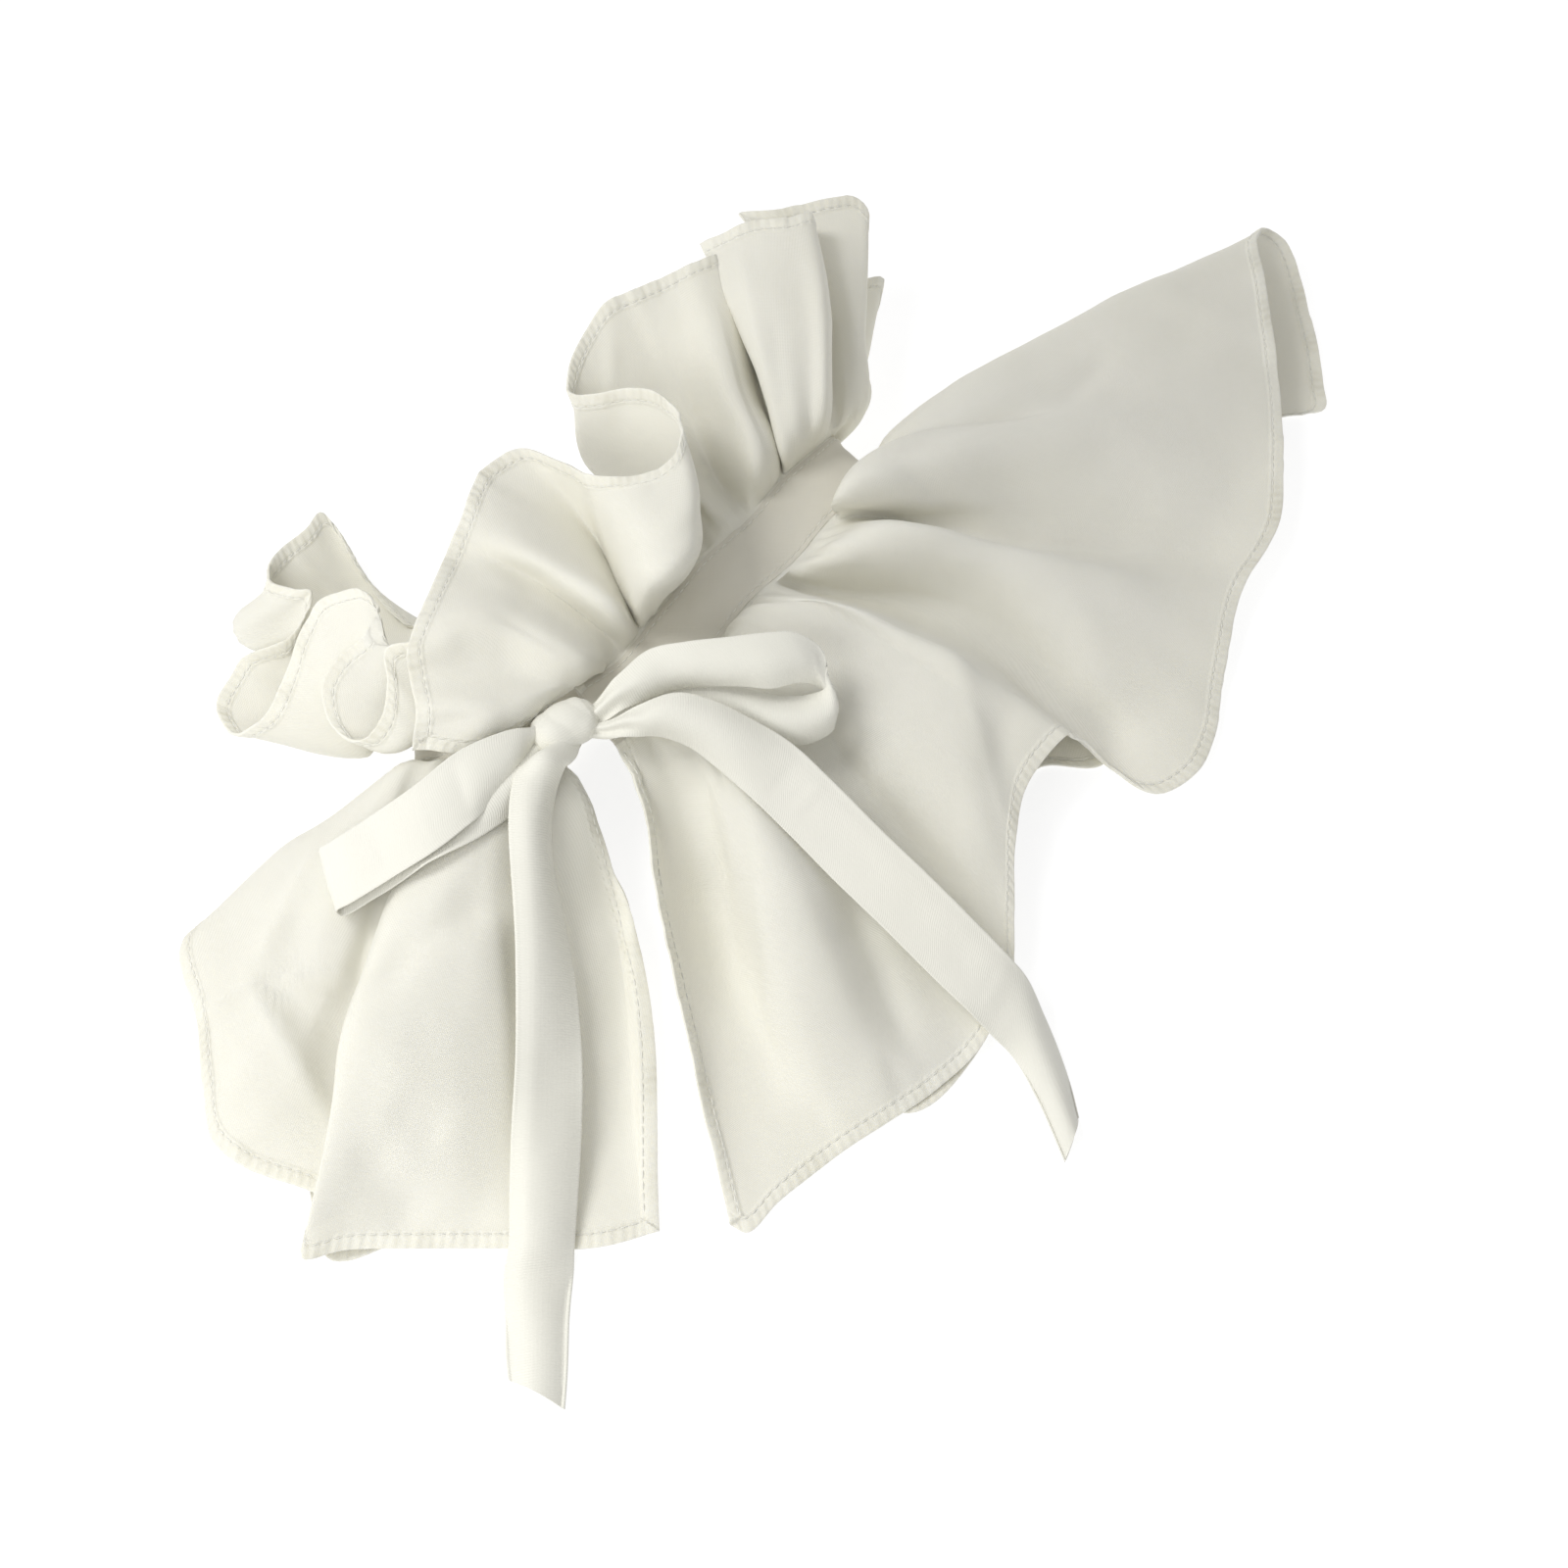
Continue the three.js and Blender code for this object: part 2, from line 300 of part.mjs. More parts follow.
// ---------------------------------------------------------------- curves
const V = (x, y, z) => new THREE.Vector3(x, y, z);
const pick = (rows, p) => rows.map((r) => V(r[p + 'x'], r[p + 'y'], r[p + 'z']));
const add = (a, b, k = 1) => a.clone().addScaledVector(b, k);
const runs = (points) => {
  const out = [0];
  for (let i = 1; i < points.length; i++) out.push(out[i - 1] + points[i].distanceTo(points[i - 1]));
  return out;
};

// Cubic through rows of numbers, with a smooth slope at each row.
function smooth(T, rows, t) {
  const n = T.length;
  let k = 0;
  while (k < n - 2 && t > T[k + 1]) k++;
  const slope = (i, c) => {
    if (i === 0) return (rows[1][c] - rows[0][c]) / (T[1] - T[0]);
    if (i === n - 1) return (rows[n - 1][c] - rows[n - 2][c]) / (T[n - 1] - T[n - 2]);
    const h0 = T[i] - T[i - 1], h1 = T[i + 1] - T[i];
    const d0 = (rows[i][c] - rows[i - 1][c]) / h0, d1 = (rows[i + 1][c] - rows[i][c]) / h1;
    return (d0 * h1 + d1 * h0) / (h0 + h1);
  };
  const h = T[k + 1] - T[k], x = (t - T[k]) / h;
  const a = 2 * x ** 3 - 3 * x ** 2 + 1, b = x ** 3 - 2 * x ** 2 + x;
  const c = -2 * x ** 3 + 3 * x ** 2, d = x ** 3 - x ** 2;
  return rows[k].map((_, j) => a * rows[k][j] + b * h * slope(k, j) + c * rows[k + 1][j] + d * h * slope(k + 1, j));
}
const smoothPoint = (T, points, t) => V(...smooth(T, points.map((p) => [p.x, p.y, p.z]), t));

// Cubic that never turns back, for the share of the band that each fold is sewn to.
function rising(T, Y, t) {
  const n = T.length;
  let k = 0;
  while (k < n - 2 && t > T[k + 1]) k++;
  const step = (i) => (Y[i + 1] - Y[i]) / (T[i + 1] - T[i]);
  const slope = (i) => {
    if (i === 0) return step(0);
    if (i === n - 1) return step(n - 2);
    const p = step(i - 1), q = step(i);
    return p * q <= 0 ? 0 : (2 * p * q) / (p + q);
  };
  const h = T[k + 1] - T[k], x = (t - T[k]) / h;
  return (2 * x ** 3 - 3 * x ** 2 + 1) * Y[k] + (x ** 3 - 2 * x ** 2 + x) * h * slope(k)
    + (-2 * x ** 3 + 3 * x ** 2) * Y[k + 1] + (x ** 3 - x ** 2) * h * slope(k + 1);
}

// Samples along a table: every row, and places between rows so that none is further apart than step.
const samples = (T, step) => {
  const out = [];
  for (let i = 0; i < T.length - 1; i++) {
    const per = Math.ceil((T[i + 1] - T[i]) / step);
    for (let j = 0; j < per; j++) out.push(T[i] + ((T[i + 1] - T[i]) * j) / per);
  }
  out.push(T[T.length - 1]);
  return out;
};

// ---------------------------------------------------------------- cloth walls
const onFloor = (p, wall) => { p.z = Math.max(p.z, FLOOR + wall / 2); return p; };

// Closed wall of the given thickness round a grid of points.
function wall(grid, thickness) {
  const n = grid.length, m = grid[0].length, pos = [], idx = [];
  const normal = (i, j) => {
    const du = grid[Math.min(i + 1, n - 1)][j].clone().sub(grid[Math.max(i - 1, 0)][j]);
    const dv = grid[i][Math.min(j + 1, m - 1)].clone().sub(grid[i][Math.max(j - 1, 0)]);
    return du.cross(dv).normalize();
  };
  for (const side of [1, -1])
    for (let i = 0; i < n; i++)
      for (let j = 0; j < m; j++) {
        const p = add(grid[i][j], normal(i, j), (side * thickness) / 2);
        pos.push(p.x, p.y, Math.max(p.z, FLOOR));
      }
  const at = (side, i, j) => side * n * m + i * m + j;
  const quad = (a, b, c, d) => idx.push(a, b, c, a, c, d);
  for (let i = 0; i < n - 1; i++)
    for (let j = 0; j < m - 1; j++) {
      quad(at(0, i, j), at(0, i + 1, j), at(0, i + 1, j + 1), at(0, i, j + 1));
      quad(at(1, i, j), at(1, i, j + 1), at(1, i + 1, j + 1), at(1, i + 1, j));
    }
  for (let i = 0; i < n - 1; i++) {
    quad(at(0, i, 0), at(1, i, 0), at(1, i + 1, 0), at(0, i + 1, 0));
    quad(at(0, i, m - 1), at(0, i + 1, m - 1), at(1, i + 1, m - 1), at(1, i, m - 1));
  }
  for (let j = 0; j < m - 1; j++) {
    quad(at(0, 0, j), at(0, 0, j + 1), at(1, 0, j + 1), at(1, 0, j));
    quad(at(0, n - 1, j), at(1, n - 1, j), at(1, n - 1, j + 1), at(0, n - 1, j + 1));
  }
  const g = new THREE.BufferGeometry();
  g.setAttribute('position', new THREE.Float32BufferAttribute(pos, 3));
  g.setIndex(idx);
  return g;
}

// ---------------------------------------------------------------- neck band
const bandLow = pick(BAND_SECTIONS, 'lo'), bandUp = pick(BAND_SECTIONS, 'up');
const bandMid = bandLow.map((p, i) => add(p, bandUp[i]).multiplyScalar(0.5));
const bandAcross = bandLow.map((p, i) => bandUp[i].clone().sub(p).normalize());
const bandRun = runs(bandMid), bandLength = bandRun[bandRun.length - 1];
const bandAt = (u) => {
  const t = u * bandLength;
  return { mid: smoothPoint(bandRun, bandMid, t), across: smoothPoint(bandRun, bandAcross, t).normalize() };
};
function bandGrid() {
  return samples(bandRun, 14).map((t) => {
    const s = bandAt(t / bandLength);
    return [-0.5, 0, 0.5].map((k) => onFloor(add(s.mid, s.across, k * BAND_WIDTH), BAND_WALL));
  });
}

// ---------------------------------------------------------------- ruffles
const NEAR_SHARE = 0.13;   // where the near point of each fold lies, as a share of the cloth's depth

function ruffleGrid(folds, side, step, shares) {
  const near = pick(folds, 'near'), mid = pick(folds, 'mid'), hem = pick(folds, 'hem');
  const T = [0];
  for (let i = 1; i < folds.length; i++)
    T.push(T[i - 1] + Math.max(0.8, Math.sqrt(hem[i].distanceTo(hem[i - 1]) * Math.max(2.4, mid[i].distanceTo(mid[i - 1])))));
  return samples(T, step).map((t) => {
    const at = rising(T, folds.map((f) => f.at), t);
    const s = bandAt(at);
    const seam = add(s.mid, s.across, side * (BAND_WIDTH / 2 + SEAM_GAP));
    const rib = [seam, smoothPoint(T, near, t), smoothPoint(T, mid, t), smoothPoint(T, hem, t)];
    const knots = [0, NEAR_SHARE, 0.5, 1];
    return shares.map((v) => onFloor(smoothPoint(knots, rib, v), RUFFLE_WALL));
  });
}

// ---------------------------------------------------------------- ribbons
function ribbonGrid(rows, step, extra = 0) {
  const a = pick(rows, 'a'), b = pick(rows, 'b');
  const mid = a.map((p, i) => add(p, b[i]).multiplyScalar(0.5));
  const across = a.map((p, i) => b[i].clone().sub(p));
  const width = across.map((w) => [Math.min(RIBBON_WIDTH, w.length())]);
  across.forEach((w) => w.normalize());
  const T = runs(mid);
  return samples(T, step).map((t) => {
    const m = smoothPoint(T, mid, t), w = smoothPoint(T, across, t).normalize();
    const wide = Math.min(RIBBON_WIDTH, smooth(T, width, t)[0]) + extra;
    return [-0.5, 0, 0.5].map((k) => onFloor(add(m, w, k * wide), RIBBON_WALL));
  });
}

// ---------------------------------------------------------------- knot
function knotGeometry(grow) {
  const g = new THREE.SphereGeometry(1, 14, 9);
  const p = g.attributes.position;
  for (let i = 0; i < p.count; i++) {
    // a wrapped knot: fuller and squarer than a ball
    const v = V(p.getX(i), p.getZ(i), p.getY(i));
    const fat = 1 + 0.10 * (1 - Math.pow(Math.abs(v.x), 4)) * Math.abs(Math.sin(2 * Math.atan2(v.z, v.y)));
    p.setXYZ(i, v.x * (KNOT.long + grow), -v.y * (KNOT.across + grow) * fat, v.z * (KNOT.deep + grow) * fat);
  }
  g.rotateZ(KNOT.turn);
  g.translate(KNOT.x, KNOT.y, KNOT.z);
  return g;
}

// ---------------------------------------------------------------- solids
function solid(geometry) {
  const g = geometry.clone();
  for (const name of ['normal', 'uv']) if (g.getAttribute(name)) g.deleteAttribute(name);
  const merged = mergeVertices(g, 1e-4);
  return new wasm.Manifold(new wasm.Mesh({
    numProp: 3,
    vertProperties: new Float32Array(merged.attributes.position.array),
    triVerts: new Uint32Array(merged.index.array),
  }));
}
function geometryOf(manifold) {
  const mesh = manifold.getMesh(), g = new THREE.BufferGeometry();
  g.setAttribute('position', new THREE.Float32BufferAttribute(mesh.vertProperties, 3));
  g.setIndex(new THREE.Uint32BufferAttribute(mesh.triVerts, 1));
  return g;
}
const aroundKnot = solid(knotGeometry(TOUCH_GAP));
const clearOfKnot = (geometry) => geometryOf(solid(geometry).subtract(aroundKnot));

// ---------------------------------------------------------------- the collar
const cloth = (color, roughness) => new THREE.MeshStandardMaterial({ color, roughness, metalness: 0 });
const IVORY_CLOTH = 0xeeece2, BAND_CLOTH = 0xe6e3d8, SATIN_RIBBON = 0xf1f1ea;

const group = new THREE.Group();
function piece(name, geometry, color, roughness) {
  const mesh = new THREE.Mesh(geometry, cloth(color, roughness));
  mesh.name = name;
  geometry.computeVertexNormals();
  group.add(mesh);
}

piece('neck_band', wall(bandGrid(), BAND_WALL), BAND_CLOTH, 0.9);
piece('lower_ruffle', wall(ruffleGrid(LOWER_FOLDS, -1, 16, [0, 0.06, 0.12, 0.24, 0.38, 0.54, 0.7, 0.85, 1]), RUFFLE_WALL), IVORY_CLOTH, 0.9);
piece('upper_ruffle', wall(ruffleGrid(UPPER_FOLDS, 1, 10, [0, 0.08, 0.2, 0.4, 0.6, 0.8, 1]), RUFFLE_WALL), IVORY_CLOTH, 0.9);
piece('bow_knot', knotGeometry(0), SATIN_RIBBON, 0.55);
piece('bow_loop_left', clearOfKnot(wall(ribbonGrid(LEFT_LOOP, 9), RIBBON_WALL)), SATIN_RIBBON, 0.55);
piece('bow_loop_right', clearOfKnot(wall(ribbonGrid(RIGHT_LOOP, 9), RIBBON_WALL)), SATIN_RIBBON, 0.55);
piece('ribbon_tail_right', clearOfKnot(wall(ribbonGrid(RIGHT_TAIL, 9), RIBBON_WALL)), SATIN_RIBBON, 0.55);
piece('ribbon_tail_down', clearOfKnot(wall(ribbonGrid(DOWN_TAIL, 9), RIBBON_WALL)), SATIN_RIBBON, 0.55);

export default group;
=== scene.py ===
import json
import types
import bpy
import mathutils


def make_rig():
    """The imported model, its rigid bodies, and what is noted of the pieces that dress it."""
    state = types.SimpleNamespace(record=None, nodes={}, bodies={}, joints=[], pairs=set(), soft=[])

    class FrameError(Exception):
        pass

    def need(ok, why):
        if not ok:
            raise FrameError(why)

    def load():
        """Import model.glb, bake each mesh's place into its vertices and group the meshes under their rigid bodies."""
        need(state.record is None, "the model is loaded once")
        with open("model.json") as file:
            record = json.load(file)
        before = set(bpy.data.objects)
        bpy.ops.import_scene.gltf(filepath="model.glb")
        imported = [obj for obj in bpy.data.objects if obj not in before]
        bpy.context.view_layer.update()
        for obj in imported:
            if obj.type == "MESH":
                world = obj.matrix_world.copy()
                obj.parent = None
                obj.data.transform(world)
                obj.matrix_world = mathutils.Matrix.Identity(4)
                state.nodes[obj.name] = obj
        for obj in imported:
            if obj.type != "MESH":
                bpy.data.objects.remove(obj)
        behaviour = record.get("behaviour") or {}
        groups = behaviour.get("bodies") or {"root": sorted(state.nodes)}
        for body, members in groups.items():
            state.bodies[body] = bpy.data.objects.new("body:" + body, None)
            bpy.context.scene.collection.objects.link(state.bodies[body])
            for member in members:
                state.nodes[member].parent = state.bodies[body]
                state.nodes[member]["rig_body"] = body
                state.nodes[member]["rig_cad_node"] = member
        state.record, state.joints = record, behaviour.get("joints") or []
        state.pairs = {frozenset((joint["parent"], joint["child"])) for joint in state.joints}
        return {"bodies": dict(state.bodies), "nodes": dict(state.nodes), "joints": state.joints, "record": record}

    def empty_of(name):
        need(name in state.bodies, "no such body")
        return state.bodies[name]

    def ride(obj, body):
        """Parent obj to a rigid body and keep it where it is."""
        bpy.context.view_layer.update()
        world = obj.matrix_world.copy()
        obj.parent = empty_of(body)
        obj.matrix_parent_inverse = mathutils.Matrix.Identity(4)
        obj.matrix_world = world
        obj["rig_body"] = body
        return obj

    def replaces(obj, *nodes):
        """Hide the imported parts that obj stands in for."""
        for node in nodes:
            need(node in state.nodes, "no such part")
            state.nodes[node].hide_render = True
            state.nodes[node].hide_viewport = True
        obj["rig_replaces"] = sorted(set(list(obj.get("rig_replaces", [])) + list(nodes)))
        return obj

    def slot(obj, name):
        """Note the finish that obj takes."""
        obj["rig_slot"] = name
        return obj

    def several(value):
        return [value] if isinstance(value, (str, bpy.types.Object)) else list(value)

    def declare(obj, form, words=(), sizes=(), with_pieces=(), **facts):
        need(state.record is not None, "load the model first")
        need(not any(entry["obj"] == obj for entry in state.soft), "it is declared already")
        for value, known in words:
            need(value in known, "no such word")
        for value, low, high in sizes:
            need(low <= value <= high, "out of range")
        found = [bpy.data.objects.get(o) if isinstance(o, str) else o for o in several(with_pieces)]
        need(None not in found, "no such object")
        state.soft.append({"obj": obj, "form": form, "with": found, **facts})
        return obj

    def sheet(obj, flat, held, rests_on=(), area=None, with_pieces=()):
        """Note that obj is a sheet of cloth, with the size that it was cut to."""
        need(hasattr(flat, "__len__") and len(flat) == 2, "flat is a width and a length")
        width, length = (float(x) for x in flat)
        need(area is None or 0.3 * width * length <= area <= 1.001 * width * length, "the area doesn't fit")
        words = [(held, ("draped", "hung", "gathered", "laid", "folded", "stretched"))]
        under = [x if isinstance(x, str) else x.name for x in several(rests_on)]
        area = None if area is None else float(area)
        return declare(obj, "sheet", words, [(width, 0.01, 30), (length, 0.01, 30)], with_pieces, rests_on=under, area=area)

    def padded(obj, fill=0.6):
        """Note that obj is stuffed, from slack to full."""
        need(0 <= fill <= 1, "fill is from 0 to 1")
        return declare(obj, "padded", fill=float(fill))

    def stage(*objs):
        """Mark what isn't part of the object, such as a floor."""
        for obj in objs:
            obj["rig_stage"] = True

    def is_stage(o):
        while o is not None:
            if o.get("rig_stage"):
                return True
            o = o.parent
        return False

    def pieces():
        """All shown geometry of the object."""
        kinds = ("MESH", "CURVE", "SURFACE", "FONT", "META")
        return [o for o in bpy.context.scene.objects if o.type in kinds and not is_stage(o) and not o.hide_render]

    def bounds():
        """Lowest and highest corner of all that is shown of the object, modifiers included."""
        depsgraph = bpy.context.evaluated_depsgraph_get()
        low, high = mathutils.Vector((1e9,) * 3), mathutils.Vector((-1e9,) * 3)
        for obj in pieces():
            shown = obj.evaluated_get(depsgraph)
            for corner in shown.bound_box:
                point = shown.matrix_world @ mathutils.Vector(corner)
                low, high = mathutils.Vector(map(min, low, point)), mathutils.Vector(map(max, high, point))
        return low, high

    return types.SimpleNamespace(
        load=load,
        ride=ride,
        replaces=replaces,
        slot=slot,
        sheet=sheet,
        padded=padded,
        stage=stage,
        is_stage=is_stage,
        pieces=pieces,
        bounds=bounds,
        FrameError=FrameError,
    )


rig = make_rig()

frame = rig.load()

# Detachable ruffle collar, lying collapsed and tied at the front with a ribbon bow.
# The tables are those of the CAD part, in its frame: millimetres, +Z up, resting on z = 0.
# Meshes are made in metres.
import json
import math
import bpy
import numpy as np
from mathutils import Vector

MM = 0.001
cad_box = [list(c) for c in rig.bounds()]

# ------------------------------------------------------------------ named sizes (mm)
BAND_WIDTH = 21.0
RIBBON_WIDTH = 19.2
SEAM_GAP = 1.0
NEAR_SHARE = 0.13               # where the near point of each fold lies, as a share of the cloth's depth
CLOTH_HALF = 0.19               # half the thickness of the ruffle cloth
HEM_WIDTH = 4.6                 # turned hem
HEM_EXTRA = 0.30                # what the turned cloth adds to each side
HEM_STITCH = 3.7                # stitch line, from the edge
BAND_HALF = 0.72                # half the thickness of the finished band
RIBBON_HALF = 0.2
STITCH_PITCH, STITCH_LENGTH = 3.0, 2.3
TUCK = 3.0                      # seam allowance of the ruffle between the band's two layers
KNOT = dict(x=-80.4, y=28.3, z=37.7, long=10.2, across=7.0, deep=5.4, turn=-0.208)

# Neck band: a row for each section round the loop. lo carries the lower ruffle, up the upper one.
BAND_SECTIONS = np.array([
    [-71.3, 20.3, 29.7, -67.9, 34.1, 32.1],
    [-53, 17.4, 26.5, -50.6, 36.3, 27.3],
    [-33.3, 19.7, 25.7, -31.9, 39.7, 26.5],
    [-7.5, 22.8, 25.7, -4.2, 44.6, 25.7],
    [12.2, 22.9, 24.9, 14.7, 44.5, 24.9],
    [29.8, 24.8, 24.1, 33.4, 47.4, 24.1],
    [46.4, 28.7, 22.5, 50.5, 45.8, 21.7],
    [57.8, 34.5, 16.9, 61.1, 46.6, 14.5],
    [58.7, 35.3, 8.9, 60.4, 48.2, 6.5],
    [33.6, 26.9, 5.7, 35.4, 48, 5.7],
    [-4.6, 25.7, 5.7, -2.7, 46.8, 5.7],
    [-33, 31.2, 5.7, -30.7, 52.9, 5.7],
    [-59.1, 41, 5.7, -49.4, 60.6, 5.7],
    [-81.9, 53.1, 7.3, -68.2, 70.9, 7.3],
    [-99.2, 61.7, 10.5, -83.9, 77.3, 10.5],
    [-110.8, 60.9, 17.7, -94.1, 75.7, 17.7],
    [-107.7, 52.8, 25.7, -91.8, 67.5, 25.7],
    [-94.9, 40.9, 28.1, -80.1, 56.4, 28.1],
    [-86.1, 28.9, 31.3, -73.3, 45.2, 32.1],
])

# Ruffles: at = share of the band's length; near x y z = where the cloth has risen from the seam,
# mid x y z = half way down the cloth, hem x y z = its edge.
LOWER_FOLDS = np.array([
    [0, -77.7, 4.2, 28.1, -108.5, -36.3, 16.9, -148.4, -94, 0.5],
    [0.004, -75.4, 4.9, 26.5, -102.3, -33.5, 11.3, -146.9, -98.9, 0.5],
    [0.01, -73.5, 6.1, 24.9, -93.6, -32.8, 7.3, -135, -99.5, 0.5],
    [0.022, -67.2, 4.4, 24.1, -86, -34.4, 7.3, -123.2, -101.4, 0.5],
    [0.036, -61, 1.2, 28.1, -77.9, -41.2, 19.3, -111, -104, 1.3],
    [0.05, -55.8, 0.6, 29.7, -69.5, -46.1, 23.3, -99.5, -107.2, 1.7],
    [0.07, -45.3, 3.3, 28.9, -51.7, -49.7, 12.9, -82.3, -111.3, 1.7],
    [0.09, -36.2, 7, 28.9, -36.9, -50.8, 11.3, -65.3, -112.6, 3.3],
    [0.11, -27.6, 10.9, 30.5, -25.1, -47.8, 17.7, -46.1, -107.6, 7.3],
    [0.13, -20.9, 15.3, 32.9, -14.6, -42.5, 23.3, -30.6, -95.4, 10.5],
    [0.15, -14.3, 16.6, 34.5, -3.4, -36.6, 27.3, -12.3, -81, 13.7],
    [0.17, -7.2, 12.6, 36.1, 5, -33.2, 29.7, 2.3, -74.5, 16.9],
    [0.19, -1.5, 6.2, 36.9, 12, -31, 31.3, 20.7, -74.2, 19.3],
    [0.197, 0.3, 7.3, 34.5, 16.2, -29.8, 26.5, 22.6, -75.4, 16.1],
    [0.205, 4.6, 15.2, 24.9, 23.3, -24, 16.9, 25.6, -78.1, 11.3],
    [0.215, 7.5, 20.4, 20.1, 30.2, -21.4, 12.9, 27, -87.6, 6.1],
    [0.225, 10.4, 19.1, 21.7, 36.7, -21.6, 15.3, 31.6, -102.2, 2.9],
    [0.232, 12.4, 16.5, 26.5, 39.7, -22.7, 19.3, 45, -106, 2.5],
    [0.24, 14.3, 14, 31.3, 42.6, -23.7, 23.3, 56.9, -103.2, 2.5],
    [0.255, 21.3, 11.7, 36.9, 47.6, -25, 29.7, 76.8, -92.6, 4.1],
    [0.268, 28.9, 9.9, 38.5, 54.7, -24.5, 31.3, 96.6, -82.4, 8.1],
    [0.275, 32.1, 13.8, 32.9, 60.7, -23.6, 23.3, 108.3, -78.6, 9.7],
    [0.283, 36.4, 20.3, 24.9, 67.9, -21.5, 16.1, 122.1, -76.3, 9.7],
    [0.294, 34.6, 22.7, 26.5, 73.9, -19.2, 18.5, 132.6, -73.4, 9.7],
    [0.306, 29.4, 23.2, 33.7, 80.7, -14.7, 24.1, 148.4, -62.9, 11.3],
    [0.325, 32.9, 24.4, 39.3, 93, -4.8, 32.9, 171.5, -45.1, 13.7],
    [0.34, 43, 26.4, 37.7, 104.6, 2.1, 28.1, 187.8, -29.3, 18.5],
    [0.355, 56.2, 26.7, 32.1, 118.1, 12.6, 28.1, 204.1, -13.7, 21.7],
    [0.368, 63.4, 30.1, 27.3, 128.8, 21.4, 25.7, 215.6, -3.6, 21.7],
    [0.38, 67.7, 33, 20.9, 135.3, 24.1, 20.1, 224.5, -1.3, 16.9],
    [0.395, 64.2, 21.6, 12.9, 139.8, 23.3, 12.1, 229.5, -8.5, 10.5],
    [0.412, 61.9, 21.1, 7.9, 140.5, 18.7, 7.3, 213.5, -30.4, 4.9],
    [0.428, 56.1, 19.7, 6.3, 134.2, 9.8, 4.1, 193.6, -49.9, 1.7],
    [0.44, 50.7, 18.4, 5.9, 127.5, 2.9, 3.3, 184.8, -56, 1.1],
    [0.45, 46.1, 17.4, 5.8, 122.7, -0.4, 2.9, 177.2, -49.7, 0.9],
    [0.47, 38.1, 16.1, 5.3, 114.5, -2.7, 2.5, 167.8, -42.7, 0.5],
    [0.495, 28.9, 15, 4.7, 94.7, -8.3, 0.9, 116.3, -61.9, 0.5],
    [0.52, 18.7, 13.9, 4.6, 60.7, -15.4, 0.5, 65.4, -70.8, 0.5],
    [0.545, 8, 13.2, 4.9, 30.6, -20.1, 0.5, 28.7, -82.5, 0.5],
    [0.56, 1.4, 13.2, 5.1, 12.7, -21.3, 0.5, 15.6, -69.1, 0.5],
    [0.58, -7.2, 13.8, 5.2, -7.5, -24.7, 0.5, -25.1, -89.4, 0.5],
    [0.605, -17.3, 15.3, 5.2, -31.9, -22.5, 0.5, -64.2, -112, 0.5],
    [0.63, -26.6, 17.3, 5.1, -46.4, -16, 0.5, -93.5, -109.1, 0.5],
    [0.65, -34.4, 19.4, 5, -52.5, -4, 0.5, -95.3, -73.7, 0.5],
    [0.668, -42.1, 21.7, 4.9, -54.1, 12, 1.7, -76.2, -21.7, 0.9],
    [0.69, -49.7, 29.6, 4.1, -51.3, 29.8, 2.5, -52.7, 29.4, 1.3],
    [0.712, -58.5, 36.5, 4.1, -60.8, 38.5, 2.5, -62.4, 40.4, 1.3],
    [0.735, -71, 36.6, 4.9, -83.8, 35.8, 1.7, -106.9, 13.4, 0.9],
    [0.76, -80.3, 39.8, 5.6, -111.7, 28.5, 0.9, -164.8, -20.7, 0.5],
    [0.785, -88.9, 44.8, 6.5, -132, 28, 0.5, -213.5, -29.4, 0.5],
    [0.8, -94.4, 47.9, 7, -137.6, 34.3, 0.5, -224.5, -21.6, 0.5],
    [0.815, -100, 51.5, 7.5, -143.9, 43.9, 0.5, -209.7, 5.8, 0.5],
    [0.835, -107.5, 56.1, 8.7, -145.8, 62, 1.7, -201.2, 47, 0.9],
    [0.853, -114.5, 67, 7.7, -145.5, 76.2, 4.1, -184.6, 76.6, 3.3],
    [0.868, -115.6, 66.3, 14.5, -150, 72.3, 12.1, -191.8, 73.5, 7.3],
    [0.88, -117.1, 63.4, 22.5, -155.3, 59.4, 18.5, -203.7, 52, 9.7],
    [0.892, -116.8, 60.4, 26.5, -159, 46.2, 20.1, -215.7, 36.7, 7.3],
    [0.898, -115.4, 58.6, 28.5, -160.1, 40.8, 19.3, -223.6, 23.7, 6.5],
    [0.904, -113.6, 56.5, 30.1, -160.5, 36, 17.7, -223.1, 13.2, 5.7],
    [0.914, -111, 53.4, 31.3, -158.8, 31, 13.7, -215.6, -5.6, 4.9],
    [0.924, -108.8, 50.5, 31.7, -158.2, 27.4, 15.3, -213.2, -15.4, 5.7],
    [0.932, -107, 48, 31.7, -162.5, 26.3, 21.7, -223.2, -14.8, 8.1],
    [0.94, -105.8, 44.2, 31.7, -162.7, 22.5, 27.3, -229.7, -17.8, 7.3],
    [0.952, -104.8, 37.2, 32.9, -154.3, 14.4, 31.3, -221, -23.3, 4.1],
    [0.964, -101.7, 32.5, 33.7, -142.1, 5, 28.1, -207, -37.8, 2.5],
    [0.976, -98.8, 27.7, 33.4, -129.6, -3.9, 20.9, -190.7, -56, 1.7],
    [0.988, -90, 16.9, 29.7, -119.2, -16.8, 12.9, -176.1, -72.2, 1.7],
    [1, -86.5, 16.4, 27.3, -111.3, -28.8, 8.9, -162, -81.2, 0.9],
])
